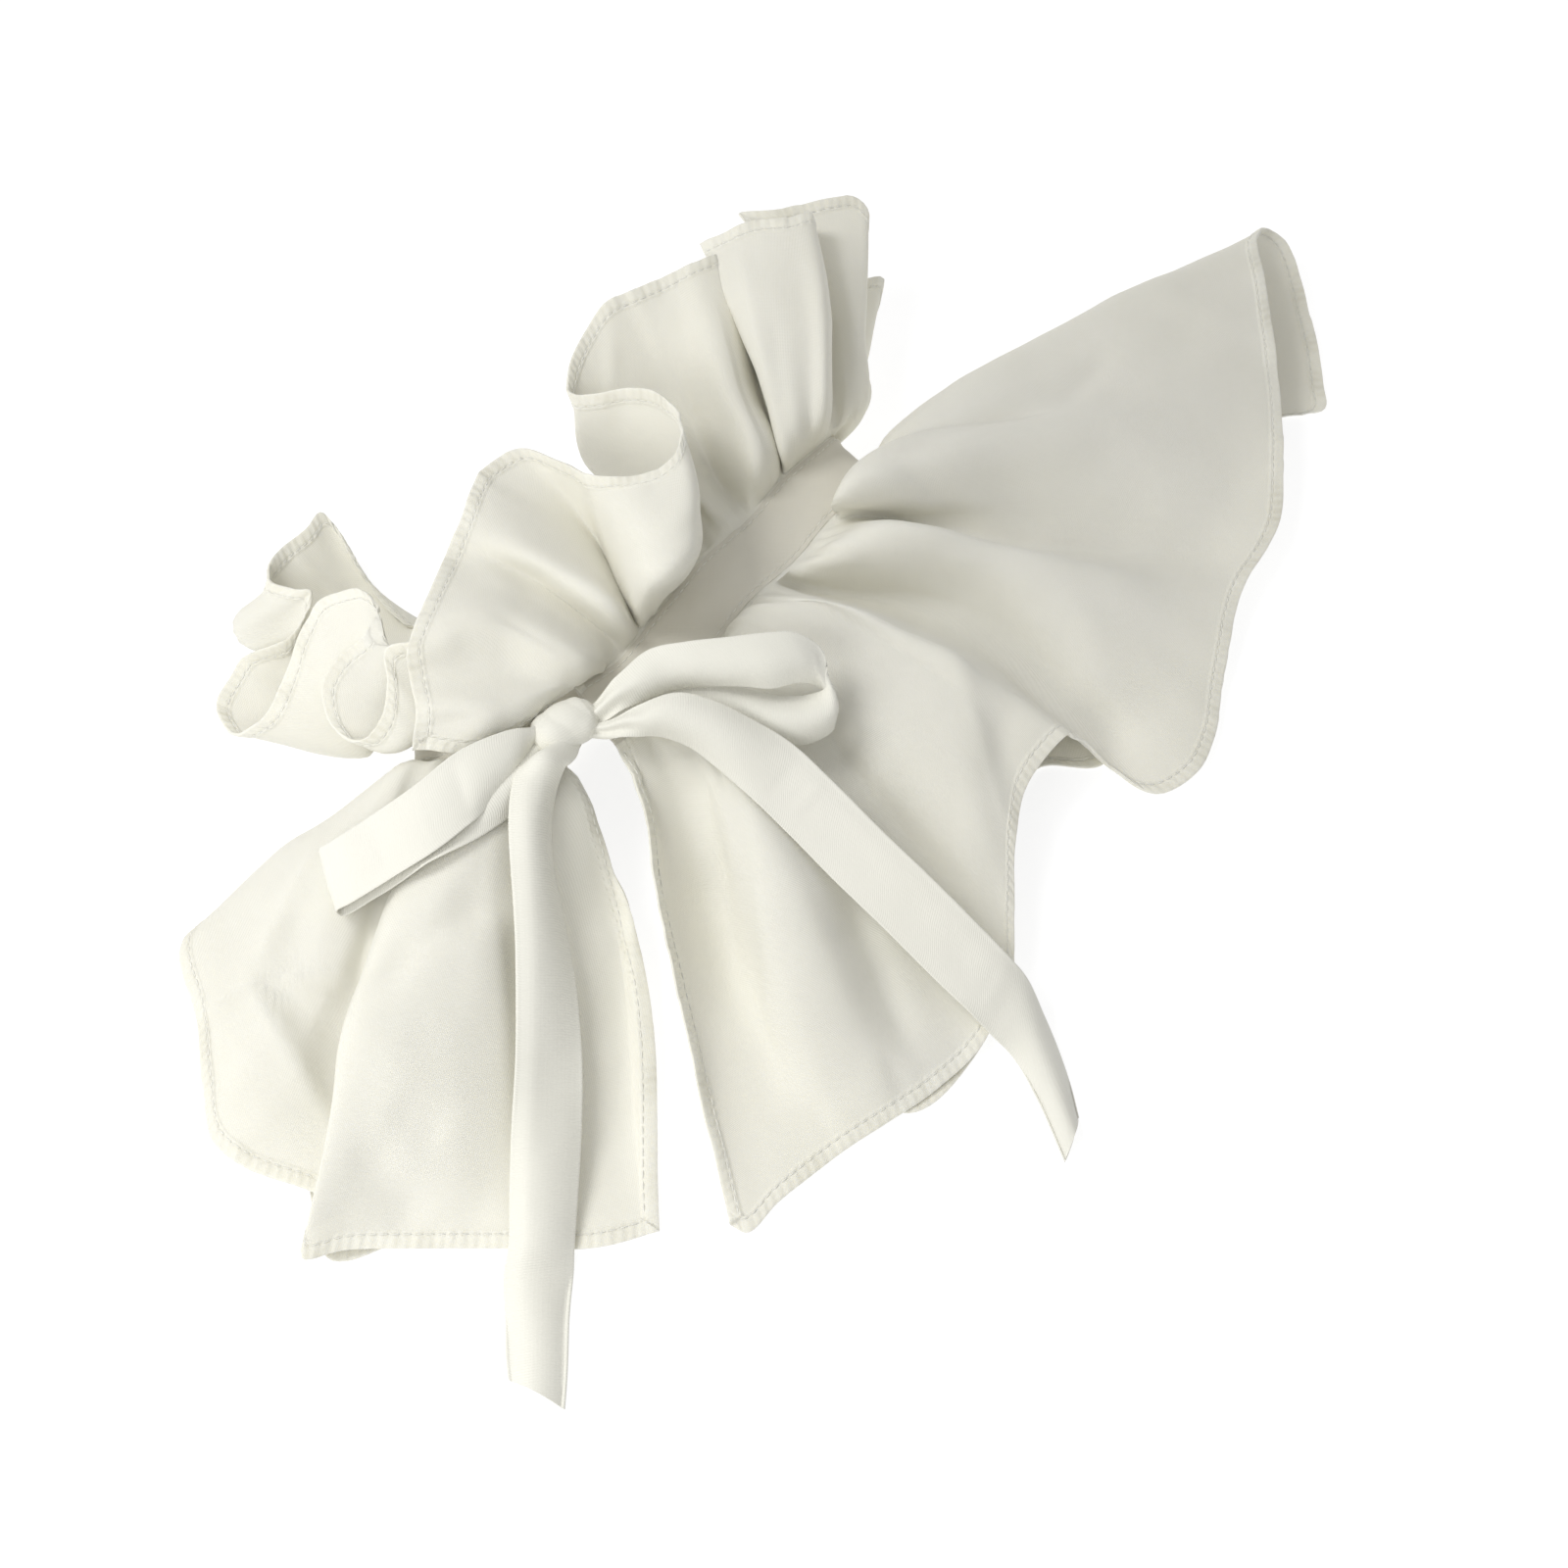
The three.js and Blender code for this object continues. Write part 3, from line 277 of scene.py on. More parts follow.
UPPER_FOLDS = np.array([
    [0, -78.8, 37.3, 36.5, -98.9, 39, 38.9, -115.5, 52.1, 41.7],
    [0.01, -76.1, 37.1, 37.7, -95.6, 39.6, 44.1, -111.7, 54.1, 47.3],
    [0.018, -71.4, 36.9, 38.5, -91.3, 41.4, 47.3, -108.1, 56.9, 49.7],
    [0.028, -67.3, 36.2, 38.5, -81.5, 50.6, 46.5, -101.7, 65.8, 50.5],
    [0.036, -63.3, 35.3, 40.9, -74.1, 56.8, 53.7, -96.3, 71.1, 55.3],
    [0.041, -61, 35.2, 40.9, -71.5, 57.8, 53.7, -91.4, 73.9, 55.3],
    [0.052, -52.6, 40.7, 34.5, -59.1, 65.9, 45.7, -77.6, 81.7, 52.1],
    [0.062, -47.5, 43.4, 32.1, -52.3, 68.3, 42.5, -65.1, 89.1, 48.9],
    [0.074, -45, 40.4, 39.3, -48.9, 61.7, 48.9, -54.5, 93.7, 50.5],
    [0.081, -41.1, 42.4, 36.1, -37.8, 66.6, 42.5, -41.5, 101.4, 48.9],
    [0.085, -38.2, 44.4, 32.1, -29.6, 70.8, 36.1, -35.7, 103.8, 47.3],
    [0.088, -35.9, 46.1, 28.9, -24.7, 72.4, 32.1, -22, 100.3, 47.3],
    [0.09, -35.5, 45.6, 28.9, -23.9, 69, 32.9, -17.7, 87.1, 47.3],
    [0.092, -36.8, 42.9, 32.9, -28.1, 60.8, 42.5, -17.7, 76.7, 50.5],
    [0.096, -38.7, 38, 41.7, -30.8, 51.4, 53.7, -16.1, 68.8, 53.7],
    [0.103, -37.4, 34.7, 47.3, -29.7, 44, 60.1, -13.8, 62.9, 56.9],
    [0.114, -33.1, 32.8, 48.9, -24.5, 38, 62.5, -9.1, 58.6, 60.1],
    [0.127, -26.7, 32.3, 47.3, -16.7, 36.9, 62.5, -2, 57.3, 61.7],
    [0.141, -17.7, 35.9, 41.7, -8.8, 40.6, 56.9, 6.4, 61.6, 60.1],
    [0.15, -9.6, 43.3, 32.9, -1.1, 50.1, 45.7, 13.8, 69.9, 56.1],
    [0.158, -5.3, 48.3, 26.5, 3.2, 60.8, 36.1, 16.9, 78.4, 52.9],
    [0.167, -3.5, 52.5, 23.3, 3.6, 70.8, 29.7, 17.2, 85.7, 50.5],
    [0.177, -1.9, 54.1, 21.7, 1.3, 80, 26.5, 14.5, 93.5, 47.3],
    [0.185, -0.5, 54.6, 20.9, -2.2, 87.1, 24.9, 8.2, 101.3, 44.1],
    [0.19, 1, 55.1, 20.9, -3.7, 91.1, 24.9, 5.1, 106.3, 42.5],
    [0.194, 3, 55.3, 21.7, 0.3, 92.7, 26.5, 5.5, 109.8, 41.7],
    [0.202, 6, 55.6, 23.3, 9, 92.5, 28.1, 11.4, 115.5, 41.7],
    [0.215, 8.8, 55.6, 26.5, 18.8, 91.9, 31.3, 25.6, 121.5, 42.5],
    [0.224, 13.5, 56.6, 24.9, 26.8, 93.9, 30.5, 36.3, 123.1, 44.9],
    [0.236, 19.3, 57.1, 21.7, 36.3, 93.6, 29.7, 45.8, 120.3, 44.9],
    [0.247, 20.9, 52.3, 28.1, 40, 87.7, 32.9, 57.4, 116.3, 44.9],
    [0.262, 24.8, 48.5, 36.1, 42.9, 77.8, 39.3, 67.6, 112.3, 45.7],
    [0.276, 32.7, 50.3, 32.9, 49.1, 76.1, 36.1, 76.2, 110.5, 44.1],
    [0.284, 37.6, 52.3, 25.7, 57.9, 79.2, 26.5, 85, 108, 39.3],
    [0.289, 38.3, 52.1, 24.1, 59.1, 80.2, 26.5, 83.3, 111.6, 41.7],
    [0.294, 36, 49.2, 29.7, 53.3, 77, 37.7, 74.7, 118, 44.9],
    [0.298, 35.3, 47.9, 32.9, 51.7, 74.7, 41.7, 80.1, 113.5, 48.1],
    [0.31, 40.4, 47.6, 34.5, 58.5, 69.8, 44.1, 89, 108, 49.7],
    [0.324, 46.5, 47.2, 32.9, 67.6, 66.5, 44.1, 97.3, 100.5, 49.7],
    [0.335, 50.6, 46, 32.9, 74.4, 63.6, 44.1, 103.9, 98, 48.9],
    [0.34, 53.6, 46.6, 29.7, 78.8, 65.2, 39.3, 105.9, 98, 47.3],
    [0.345, 56.6, 48.2, 24.1, 82, 69.8, 31.3, 106.5, 99.3, 42.5],
    [0.351, 58.6, 49.4, 20.9, 82.6, 75.9, 24.9, 101.9, 110.4, 37.7],
    [0.356, 61.1, 49.9, 20.1, 84.1, 77.2, 24.1, 98.9, 122.2, 36.1],
    [0.365, 65, 49.2, 20.9, 90.7, 73, 28.1, 108.6, 112, 37.7],
    [0.376, 67.7, 48.3, 20.1, 95.7, 69.9, 28.9, 122.1, 102.6, 38.5],
    [0.381, 68.6, 47.7, 19.3, 96.9, 68.8, 27.3, 127.6, 99.3, 37.7],
    [0.385, 69.7, 47.8, 17.7, 97.1, 67.6, 25.7, 128.7, 94.7, 36.1],
    [0.391, 70.9, 49.1, 13.7, 96.4, 67.6, 19.3, 120.9, 88.7, 29.7],
    [0.397, 70.8, 49.7, 11.3, 93.7, 70.1, 13.7, 110.4, 84.6, 23.3],
    [0.404, 72.9, 50.7, 10.5, 94.7, 67.6, 13.7, 115.4, 82.9, 20.9],
    [0.415, 74.9, 51.5, 8.1, 96.2, 66.7, 12.1, 121.7, 80.4, 18.5],
    [0.435, 55.3, 60.4, 3.4, 91.3, 64.1, 7.3, 110.1, 75.7, 8.9],
    [0.47, 41.2, 57.8, 5.5, 83.1, 62, 4.1, 98.4, 72.9, 4.1],
    [0.5, 30.3, 56.9, 5.6, 68, 61.7, 3.3, 83, 76.7, 2.5],
    [0.54, 15.4, 56.7, 5.2, 45.4, 65.1, 1.7, 55.6, 91.2, 0.9],
    [0.59, -3.8, 58.7, 4.6, 5.8, 63, 1.7, 13, 91, 0.9],
    [0.64, -24, 63, 4.7, -21.3, 71.3, 1.7, -14, 104, 0.9],
    [0.7, -41.8, 69.4, 4.6, -46.9, 78.1, 1.7, -46.5, 106.5, 0.9],
    [0.755, -55.9, 76.7, 5.3, -63.9, 88.6, 2.5, -72.5, 106, 4.1],
    [0.785, -63.1, 81, 6.5, -69.4, 105.1, 3.3, -71.4, 127.7, 9.7],
    [0.808, -70, 84.5, 7.4, -79.5, 113, 4.1, -66.6, 149.9, 16.9],
    [0.816, -72.6, 85.8, 7.8, -84.4, 115, 4.9, -73.9, 147.6, 17.7],
    [0.828, -76.3, 87.5, 8.6, -90.5, 118.4, 5.7, -83.1, 146.8, 19.3],
    [0.842, -80.2, 88.4, 10, -97.1, 128.7, 5.7, -92.4, 143.4, 22.5],
    [0.852, -83.6, 88.5, 11.6, -107.6, 139.6, 5.7, -97.1, 135.2, 24.9],
    [0.862, -87, 88.3, 13.4, -111.5, 134.8, 7.3, -94.9, 128.2, 26.5],
    [0.871, -89.1, 87.5, 15.2, -106.5, 122.9, 9.7, -92, 122.5, 27.3],
    [0.88, -90.3, 86.2, 16.6, -105.3, 113.2, 8.9, -105, 122.5, 16.9],
    [0.888, -90.6, 84.6, 17.9, -107.3, 109.9, 6.5, -112.3, 130, 11.3],
    [0.896, -98.3, 87.7, 11.3, -113.2, 92, 4.9, -122.3, 130.3, 8.1],
    [0.905, -102, 87.2, 9.7, -113.5, 81.8, 4.1, -133.1, 124.7, 8.1],
    [0.913, -102.8, 84.9, 15.3, -114.3, 79.1, 8.1, -135.8, 114.3, 10.5],
    [0.922, -99.9, 81.1, 21.7, -115.6, 75.1, 15.3, -131.1, 106, 18.5],
    [0.932, -86.3, 73.5, 32, -113.2, 85.4, 27.3, -117.7, 106, 28.1],
    [0.941, -83.3, 70.1, 34.4, -106.7, 86.3, 35.3, -104, 110, 36.1],
    [0.947, -81.2, 68.1, 35.2, -100.7, 85.4, 38.5, -96.5, 110.6, 39.3],
    [0.954, -79.3, 66.3, 35.5, -97.5, 83.4, 40.9, -92.4, 106.3, 42.5],
    [0.962, -77.7, 63.7, 36.6, -95.2, 80.4, 43.3, -88.6, 100.6, 45.7],
    [0.968, -76.8, 62.4, 36.9, -95.2, 76.4, 43.3, -90.5, 91.3, 47.3],
    [0.972, -76.6, 62.1, 36.7, -98, 74.2, 40.1, -97.6, 89.4, 44.1],
    [0.976, -76.5, 61.8, 36.1, -101.9, 72.6, 36.1, -107.2, 92.1, 39.3],
    [0.979, -76.6, 61.8, 35.1, -106.3, 70.7, 31.3, -115.4, 90.8, 35.3],
    [0.982, -76.7, 61.5, 34.1, -110.1, 67.3, 28.9, -120.8, 82.8, 31.3],
    [0.985, -76.6, 60.4, 34.8, -111.1, 62.8, 29.7, -121, 76.1, 31.3],
    [0.988, -76.5, 59.2, 35.9, -109.9, 58.6, 32.9, -117.9, 69.9, 33.7],
    [0.991, -75.8, 58.2, 36.7, -106.6, 58.2, 36.1, -112.4, 69.2, 37.7],
    [0.995, -74.6, 56.6, 38, -100.8, 59.9, 37.7, -104.2, 74, 42.5],
    [0.998, -73.3, 55.6, 38.7, -95.1, 62.5, 38.5, -98.2, 80.4, 45.7],
    [1, -72.7, 55.3, 38.5, -89.2, 60.8, 36.9, -93.3, 74.1, 48.9],
])

# Single folds pressed into the ruffles: x y of the two ends, height (below 0 a valley), width,
# how crisp it is, its lean (above 0 it is wider on the right of its direction), and the shares of
# the band from and to which the cloth takes it.
LOWER_CREASES = [
    (-146.6, 62.5, -182.6, 49.5, 1.6, 3.5, 0.5, 0, 0.87, 0.926),
    (-162.5, 51.6, -179.3, 41.2, -2, 6, 0, 0, 0.87, 0.926),
    (-200.2, 51.1, -186.5, 47.1, 1.3, 2.2, 0.6, 0, 0.868, 0.905),
    (-186.4, 48.3, -196.7, 12.1, 1.5, 2.4, 0.8, 0, 0.868, 0.93),
    (-185.3, 47.5, -167.2, 26, 1.1, 2.4, 0.8, 0, 0.868, 0.93),
    (-202.8, 48.9, -212.4, 32.8, -0.9, 3, 0.3, 0, 0.868, 0.905),
    (-224.3, 17.9, -205.7, 18.4, 1.1, 5, 0, 0, 0.88, 0.926),
    (-165.5, 16.8, -130.4, 6.9, -4.6, 6, 0.3, -0.45, 0.93, 0.985),
    (-179, 17.6, -178.5, -15.1, 1.4, 8, 0, 0, 0.936, 0.985),
    (-201.6, -11.3, -201.1, -31.7, -2, 6, 0, 0, 0.936, 0.985),
    (-186.1, -10, -184, -22.9, -1.1, 6, 0, 0, 0.936, 0.985),
    (-159.7, -1.1, -190.6, -37.4, 0.9, 6, 0, 0, 0.936, 0.985),
    (-130.6, 9.1, -173.3, -37.2, 2.4, 8, 0, 0.5, 0.936, 0.985),
    (-86.8, 2, -163.6, -75.7, 0.9, 1.6, 0.5, 0, 0.984, 1.01),
    (-85.6, 5.5, -163.8, -75.5, -5, 8, 0.2, 0.8, 0.974, 1.01),
    (-158.5, -56.5, -148, -62.1, 0.81, 3, 0.3, 0, 0.984, 1.01),
    (-138.5, -37.6, -127.6, -41.3, 0.72, 3, 0.3, 0, 0.984, 1.01),
    (-113.8, -14.4, -103.2, -14.9, 0.72, 3, 0.3, 0, 0.984, 1.01),
    (-60.8, -1.4, -82.6, -29, -5, 5, 0.3, 0.25, 0, 0.045),
    (-78.8, -25.2, -103.5, -56.6, -4.8, 6, 0.3, 0.3, 0, 0.045),
    (-53.5, -1, -61.7, -14, -2.9, 2.2, 0.5, 0, 0.02, 0.06),
    (-61.9, -26.9, -121.1, -93.1, 3.4, 8, 0.1, -0.5, 0.005, 0.08),
    (-60.1, -60.6, -79.6, -97.1, -3.6, 9, 0, 0.4, 0.03, 0.095),
    (-110, -88.5, -113.9, -101, -1.4, 3, 0.2, 0, 0.02, 0.075),
    (-86.7, -96.4, -91.1, -108.7, -1.1, 3, 0.2, 0, 0.04, 0.095),
    (-118.2, -79.5, -130.4, -97.2, 1.1, 4, 0.1, 0, 0, 0.04),
    (-25.8, -17.7, -37.6, -84.6, -2.5, 4.5, 0.2, 0, 0.06, 0.13),
    (21.5, -24.2, -18.8, -83.6, 3.2, 10, 0.1, 0.5, 0.095, 0.19),
    (-36.9, -54.2, -38, -83.7, 1.1, 3, 0.4, 0, 0.09, 0.15),
    (23.3, -53.9, -5.7, -66, -0.9, 5, 0, 0, 0.11, 0.19),
    (18.3, 18.2, 20, -9.2, 1.4, 2.6, 0.7, 0, 0.225, 0.285),
    (8, 15.4, 22.2, -4.1, -1.6, 2.6, 0.5, 0, 0.215, 0.262),
    (22.9, -9.2, 35.1, -32.7, -0.9, 5, 0.1, 0, 0.225, 0.285),
    (40.7, -26.1, 36.6, -86.2, -3.2, 7, 0, 0.3, 0.205, 0.272),
    (68.4, -45.7, 81.2, -82.1, 0.9, 7, 0, 0, 0.23, 0.285),
    (58.8, 28.5, 106.3, -3.6, -2.3, 3.2, 0.5, 0, 0.3, 0.385),
    (64.9, 12.3, 114.7, -6, 1.8, 5, 0.1, 0, 0.29, 0.36),
    (107.7, -2.3, 139.2, 0.5, -1.1, 4, 0.4, 0, 0.32, 0.385),
    (69.7, -1.9, 99.2, -47, -0.9, 8, 0, 0, 0.29, 0.345),
    (48.4, 17.6, 61.8, -11.8, -1.4, 4, 0.2, 0, 0.283, 0.33),
    (171.1, 5.5, 177.6, -21, 0.72, 6, 0, 0, 0.33, 0.385),
    (113.5, -27.1, 145.2, -57.4, 0.72, 6, 0, 0, 0.29, 0.345),
]
UPPER_CREASES = [
    (-106.1, 55.5, -93.2, 40.8, 1.2, 2.2, 0.7, 0, 0, 0.03),
    (-96.8, 67.5, -85.9, 62.9, 0.9, 3.5, 0.3, 0, 0.018, 0.06),
    (-4.9, 83.2, -20.1, 72.7, 0.75, 2.5, 0.4, 0, 0.08, 0.1),
    (-72, 63.2, -66.5, 31.8, -0.9, 3, 0.4, 0, 0.02, 0.062),
    (-59, 86.5, -61.5, 63.3, 0.75, 4, 0.2, 0, 0.045, 0.085),
    (14.4, 100.4, 30.5, 114.8, 1, 2.2, 0.6, 0, 0.19, 0.24),
    (47.5, 120.3, 27.6, 70.9, 1.7, 8, 0.1, -0.5, 0.2, 0.262),
    (61, 91.7, 31.7, 49.8, 3, 4.5, 0.1, 0, 0.24, 0.268),
    (76, 102.3, 42.2, 59.5, 1.7, 7, 0.1, -0.6, 0.3, 0.35),
    (84, 75.9, 49.5, 43.7, 0.9, 2.2, 0.5, 0, 0.31, 0.35),
    (65.6, 78.5, 38.4, 50.6, -0.75, 3.5, 0.2, 0, 0.298, 0.34),
    (-82.6, 144.4, -80.7, 125.5, 1, 2, 0.7, 0, 0.808, 0.858),
    (-72.6, 146.1, -80.5, 124.4, 0.6, 4, 0.2, 0, 0.79, 0.828),
]
# Hollows between two creases that meet: x y of the point, x y along the first and the second crease,
# slope, greatest depth, shares from and to.
LOWER_WEDGES = [
    (-186.1, 49, -166.1, 24.8, -197.5, 10.5, 1, 7.5, 0.868, 0.93),
]

UPPER_WEDGES = [
    (-90.7, 41, -106, 61.3, -120.2, 44.3, 0.6, 5, 0, 0.03),
]

# Ribbons: a row for each section, x y z of one edge and x y z of the other.
LEFT_LOOP = np.array([
    [-77.5, 30.2, 39.3, -84.3, 28.5, 36.9],
    [-82.3, 31.4, 40.9, -89, 30, 36.9],
    [-87.7, 32.3, 43.3, -94.3, 29.3, 36.9],
    [-95.8, 35.2, 46.5, -103.9, 26.6, 37.3],
    [-108, 39.9, 47.3, -116.5, 25.1, 39.3],
    [-123.8, 43.6, 43.3, -132, 26.3, 39.3],
    [-136.8, 49.9, 36.9, -145.6, 31.1, 34.5],
    [-146.8, 53.7, 32.1, -156.1, 37.5, 28.9],
    [-149.9, 56.3, 28.1, -159.2, 40.2, 25.3],
    [-149.2, 55.8, 24.9, -158.9, 39.5, 23.3],
    [-140.7, 50.5, 28.7, -149.5, 34.1, 27.6],
    [-125.3, 44.1, 33.3, -135.8, 24.7, 37.5],
    [-109.4, 37.2, 37.7, -118.9, 21.6, 36.9],
    [-98, 33.1, 38.5, -106.1, 21, 35.7],
    [-89.6, 31.5, 38.1, -95.1, 24.3, 34.9],
    [-82.4, 30.3, 36.9, -87.8, 26.9, 34.5],
    [-77.7, 28.8, 36.9, -82.8, 26.3, 35.3],
])
RIGHT_LOOP = np.array([
    [-79.1, 27.6, 40.9, -79.8, 24.1, 39.3],
    [-73.3, 27.1, 41.7, -74.9, 22.7, 40.1],
    [-67.9, 26, 44.1, -70.8, 20.1, 40.9],
    [-60.8, 24.1, 47.3, -63.1, 16.4, 41.7],
    [-51.9, 21.7, 50.5, -54.1, 12, 41.7],
    [-44.2, 14.5, 52.9, -46.9, 5.1, 42.5],
    [-35.9, 6.6, 53.7, -40.6, -2.5, 43.3],
    [-27.1, -0.9, 53.7, -34.9, -9.9, 43.3],
    [-21.2, -6, 52.1, -27.6, -13.8, 41.7],
    [-18.7, -11.1, 48.9, -23.6, -16.9, 37.7],
    [-20, -16.3, 44.1, -25, -23.8, 34.1],
    [-23.5, -19.4, 40.1, -28.4, -27, 32.1],
    [-26.9, -16.1, 37.7, -35.4, -25, 31.7],
    [-32.2, -9.8, 36.9, -42.2, -18.5, 32.5],
    [-37.1, -1.5, 37.7, -46.7, -8.5, 33.7],
    [-41.7, 7, 38.9, -52.3, 2.1, 34.5],
    [-48.5, 15, 39.3, -57.7, 10.7, 34.5],
    [-59, 20.5, 37.7, -64.9, 17.2, 33.7],
    [-67.6, 24, 36.1, -71.1, 21.3, 33.7],
    [-73.1, 26.3, 36.1, -75, 24, 34.5],
    [-77.4, 28.3, 36.1, -79.6, 25.6, 35.3],
])
RIGHT_TAIL = np.array([
    [-79.3, 26.2, 38.5, -81, 24.1, 36.5],
    [-75.3, 22.8, 38.9, -77, 20.2, 36.9],
    [-70.9, 18.8, 41.3, -74.4, 16.2, 38.1],
    [-64.5, 14.8, 44.1, -71.1, 11.3, 39.3],
    [-55.3, 8.3, 46.5, -66.1, 5.5, 39.3],
    [-50, 0.4, 44.9, -62.4, -2.1, 37.7],
    [-45.6, -9.1, 40.9, -61, -11.1, 35.3],
    [-42.2, -20, 36.9, -60.3, -20.6, 32.1],
    [-41.4, -37.4, 32.1, -60.4, -36.6, 26.5],
    [-42.3, -56.3, 28.1, -61.5, -54.9, 21.7],
    [-42.9, -74.5, 24.9, -62.8, -73.9, 18.5],
    [-44, -93.1, 20.9, -63.9, -93.2, 14.5],
    [-44.1, -103.8, 17.7, -64.3, -106.9, 10.5],
    [-45.3, -111.5, 12.9, -62.5, -113.4, 6.5],
    [-48.3, -120.8, 6.5, -62, -121, 2.5],
    [-53.6, -131.5, 2.5, -66.4, -132.2, 0.5],
    [-63.5, -145.1, 0.5, -76.1, -150.1, 0.5],
])
DOWN_TAIL = np.array([
    [-83.7, 30.3, 38.5, -78.6, 25.4, 38.5],
    [-89.5, 28.2, 40.5, -82.1, 21.1, 40.1],
    [-94, 27.5, 41.7, -85.4, 19.3, 40.9],
    [-98, 27.3, 41.7, -88.7, 18.4, 40.9],
    [-104, 24.5, 40.9, -92.7, 17.7, 36.1],
    [-111.2, 19.5, 38.9, -99.9, 13.6, 31.7],
    [-119.5, 11.4, 36.1, -108.3, 5.9, 27.7],
    [-129.3, 1.1, 31.7, -116.5, -4.9, 22.9],
    [-142.1, -11.5, 26.5, -127.6, -19.5, 18.1],
    [-156.9, -24.8, 20.1, -141.9, -35.3, 13.7],
    [-171.9, -37.8, 14.5, -157.9, -50, 10.9],
    [-184.5, -49, 8.9, -171.9, -61.4, 8.1],
    [-191.6, -55.3, 5.7, -179.9, -67.7, 5.3],
    [-197.5, -58.9, 2.2, -184.8, -71.7, 2],
    [-206.2, -67.7, 0.5, -194.6, -79.5, 0.5],
    [-216.1, -78.7, 0.5, -212, -94.7, 0.5],
])


# ------------------------------------------------------------------ curves
def runs(p):
    return np.concatenate([[0], np.cumsum(np.linalg.norm(np.diff(p, axis=0), axis=1))])


def unit(v):
    return v / np.maximum(np.linalg.norm(v, axis=-1, keepdims=True), 1e-9)


def smooth(T, Y, t):
    """Cubic through the rows of Y at T, with a smooth slope at each row."""
    T, Y, t = np.asarray(T, float), np.asarray(Y, float), np.atleast_1d(t)
    if Y.ndim == 1:
        return smooth(T, Y[:, None], t)[:, 0]
    h = np.diff(T)
    d = np.diff(Y, axis=0) / h[:, None]
    s = np.empty_like(Y)
    s[0], s[-1] = d[0], d[-1]
    s[1:-1] = (d[:-1] * h[1:, None] + d[1:] * h[:-1, None]) / (h[:-1] + h[1:])[:, None]
    k = np.clip(np.searchsorted(T, t, side="right") - 1, 0, len(T) - 2)
    x = ((t - T[k]) / h[k])[:, None]
    H = h[k][:, None]
    return ((2 * x**3 - 3 * x**2 + 1) * Y[k] + (x**3 - 2 * x**2 + x) * H * s[k]
            + (-2 * x**3 + 3 * x**2) * Y[k + 1] + (x**3 - x**2) * H * s[k + 1])


def rising(T, Y, t):
    """Cubic that never turns back, for the share of the band that each fold is sewn to."""
    T, Y, t = np.asarray(T, float), np.asarray(Y, float), np.atleast_1d(t)
    h = np.diff(T)
    d = np.diff(Y) / h
    s = np.empty_like(Y)
    s[0], s[-1] = d[0], d[-1]
    p, q = d[:-1], d[1:]
    s[1:-1] = np.where(p * q <= 0, 0, 2 * p * q / np.where(p + q == 0, 1, p + q))
    k = np.clip(np.searchsorted(T, t, side="right") - 1, 0, len(T) - 2)
    x = (t - T[k]) / h[k]
    return ((2 * x**3 - 3 * x**2 + 1) * Y[k] + (x**3 - 2 * x**2 + x) * h[k] * s[k]
            + (-2 * x**3 + 3 * x**2) * Y[k + 1] + (x**3 - x**2) * h[k] * s[k + 1])


def step01(x):
    x = np.clip(x, 0, 1)
    return x * x * (3 - 2 * x)


def noise(u, v, seed):
    """Smooth seeded noise between -1 and 1, one lump per unit of u and v."""
    rng = np.random.RandomState(seed)
    size = 512
    grid = rng.uniform(-1, 1, (size, size))
    i, j = np.floor(u).astype(int), np.floor(v).astype(int)
    x, y = u - i, v - j
    x, y = x * x * x * (x * (6 * x - 15) + 10), y * y * y * (y * (6 * y - 15) + 10)
    g = lambda a, b: grid[a % size, b % size]
    return ((g(i, j) * (1 - x) + g(i + 1, j) * x) * (1 - y)
            + (g(i, j + 1) * (1 - x) + g(i + 1, j + 1) * x) * y)


def normals(P):
    du, dv = np.gradient(P, axis=0), np.gradient(P, axis=1)
    return unit(np.cross(du, dv))


def lengths(P):
    """Running lengths along both directions of a grid."""
    a = np.linalg.norm(np.diff(P, axis=0), axis=2)
    b = np.linalg.norm(np.diff(P, axis=1), axis=2)
    U = np.concatenate([np.zeros((1, P.shape[1])), np.cumsum(a, axis=0)])
    W = np.concatenate([np.zeros((P.shape[0], 1)), np.cumsum(b, axis=1)], axis=1)
    return U, W


def unrolled(P):
    """Flat coordinates of each point of a grid: the strips between its columns laid out one after another."""
    n, m = P.shape[:2]
    _, W = lengths(P)
    L = W[:, -1]
    a0, a1 = np.zeros(2), np.array([0.0, L[0]])
    out = np.empty((n, m, 2))
    chord0 = np.linalg.norm(P[:, -1] - P[:, 0], axis=1)
    a1 = np.array([0.0, chord0[0]])
    for i in range(n):
        if i:
            def place(p, q, r, s, keep):
                d = max(np.linalg.norm(q - p), 1e-6)
                e = (q - p) / d
                x = (r * r - s * s + d * d) / (2 * d)
                y = math.sqrt(max(r * r - x * x, 0.0))
                return p + e * x + keep * np.array([e[1], -e[0]]) * y
            g = lambda a, b: float(np.linalg.norm(a - b))
            b0 = place(a0, a1, g(P[i, 0], P[i - 1, 0]), g(P[i, 0], P[i - 1, -1]), 1)
            # the hem point, from the old hem point and the new seam point
            b1 = place(b0, a1, chord0[i], g(P[i, -1], P[i - 1, -1]), -1)
            side = (a1 - b0)[0] * (b1 - b0)[1] - (a1 - b0)[1] * (b1 - b0)[0]
            if side > 0:
                b1 = place(b0, a1, chord0[i], g(P[i, -1], P[i - 1, -1]), 1)
            a0, a1 = b0, b1
        f = (W[i] / L[i])[:, None]
        out[i] = a0 * (1 - f) + a1 * f
    return out


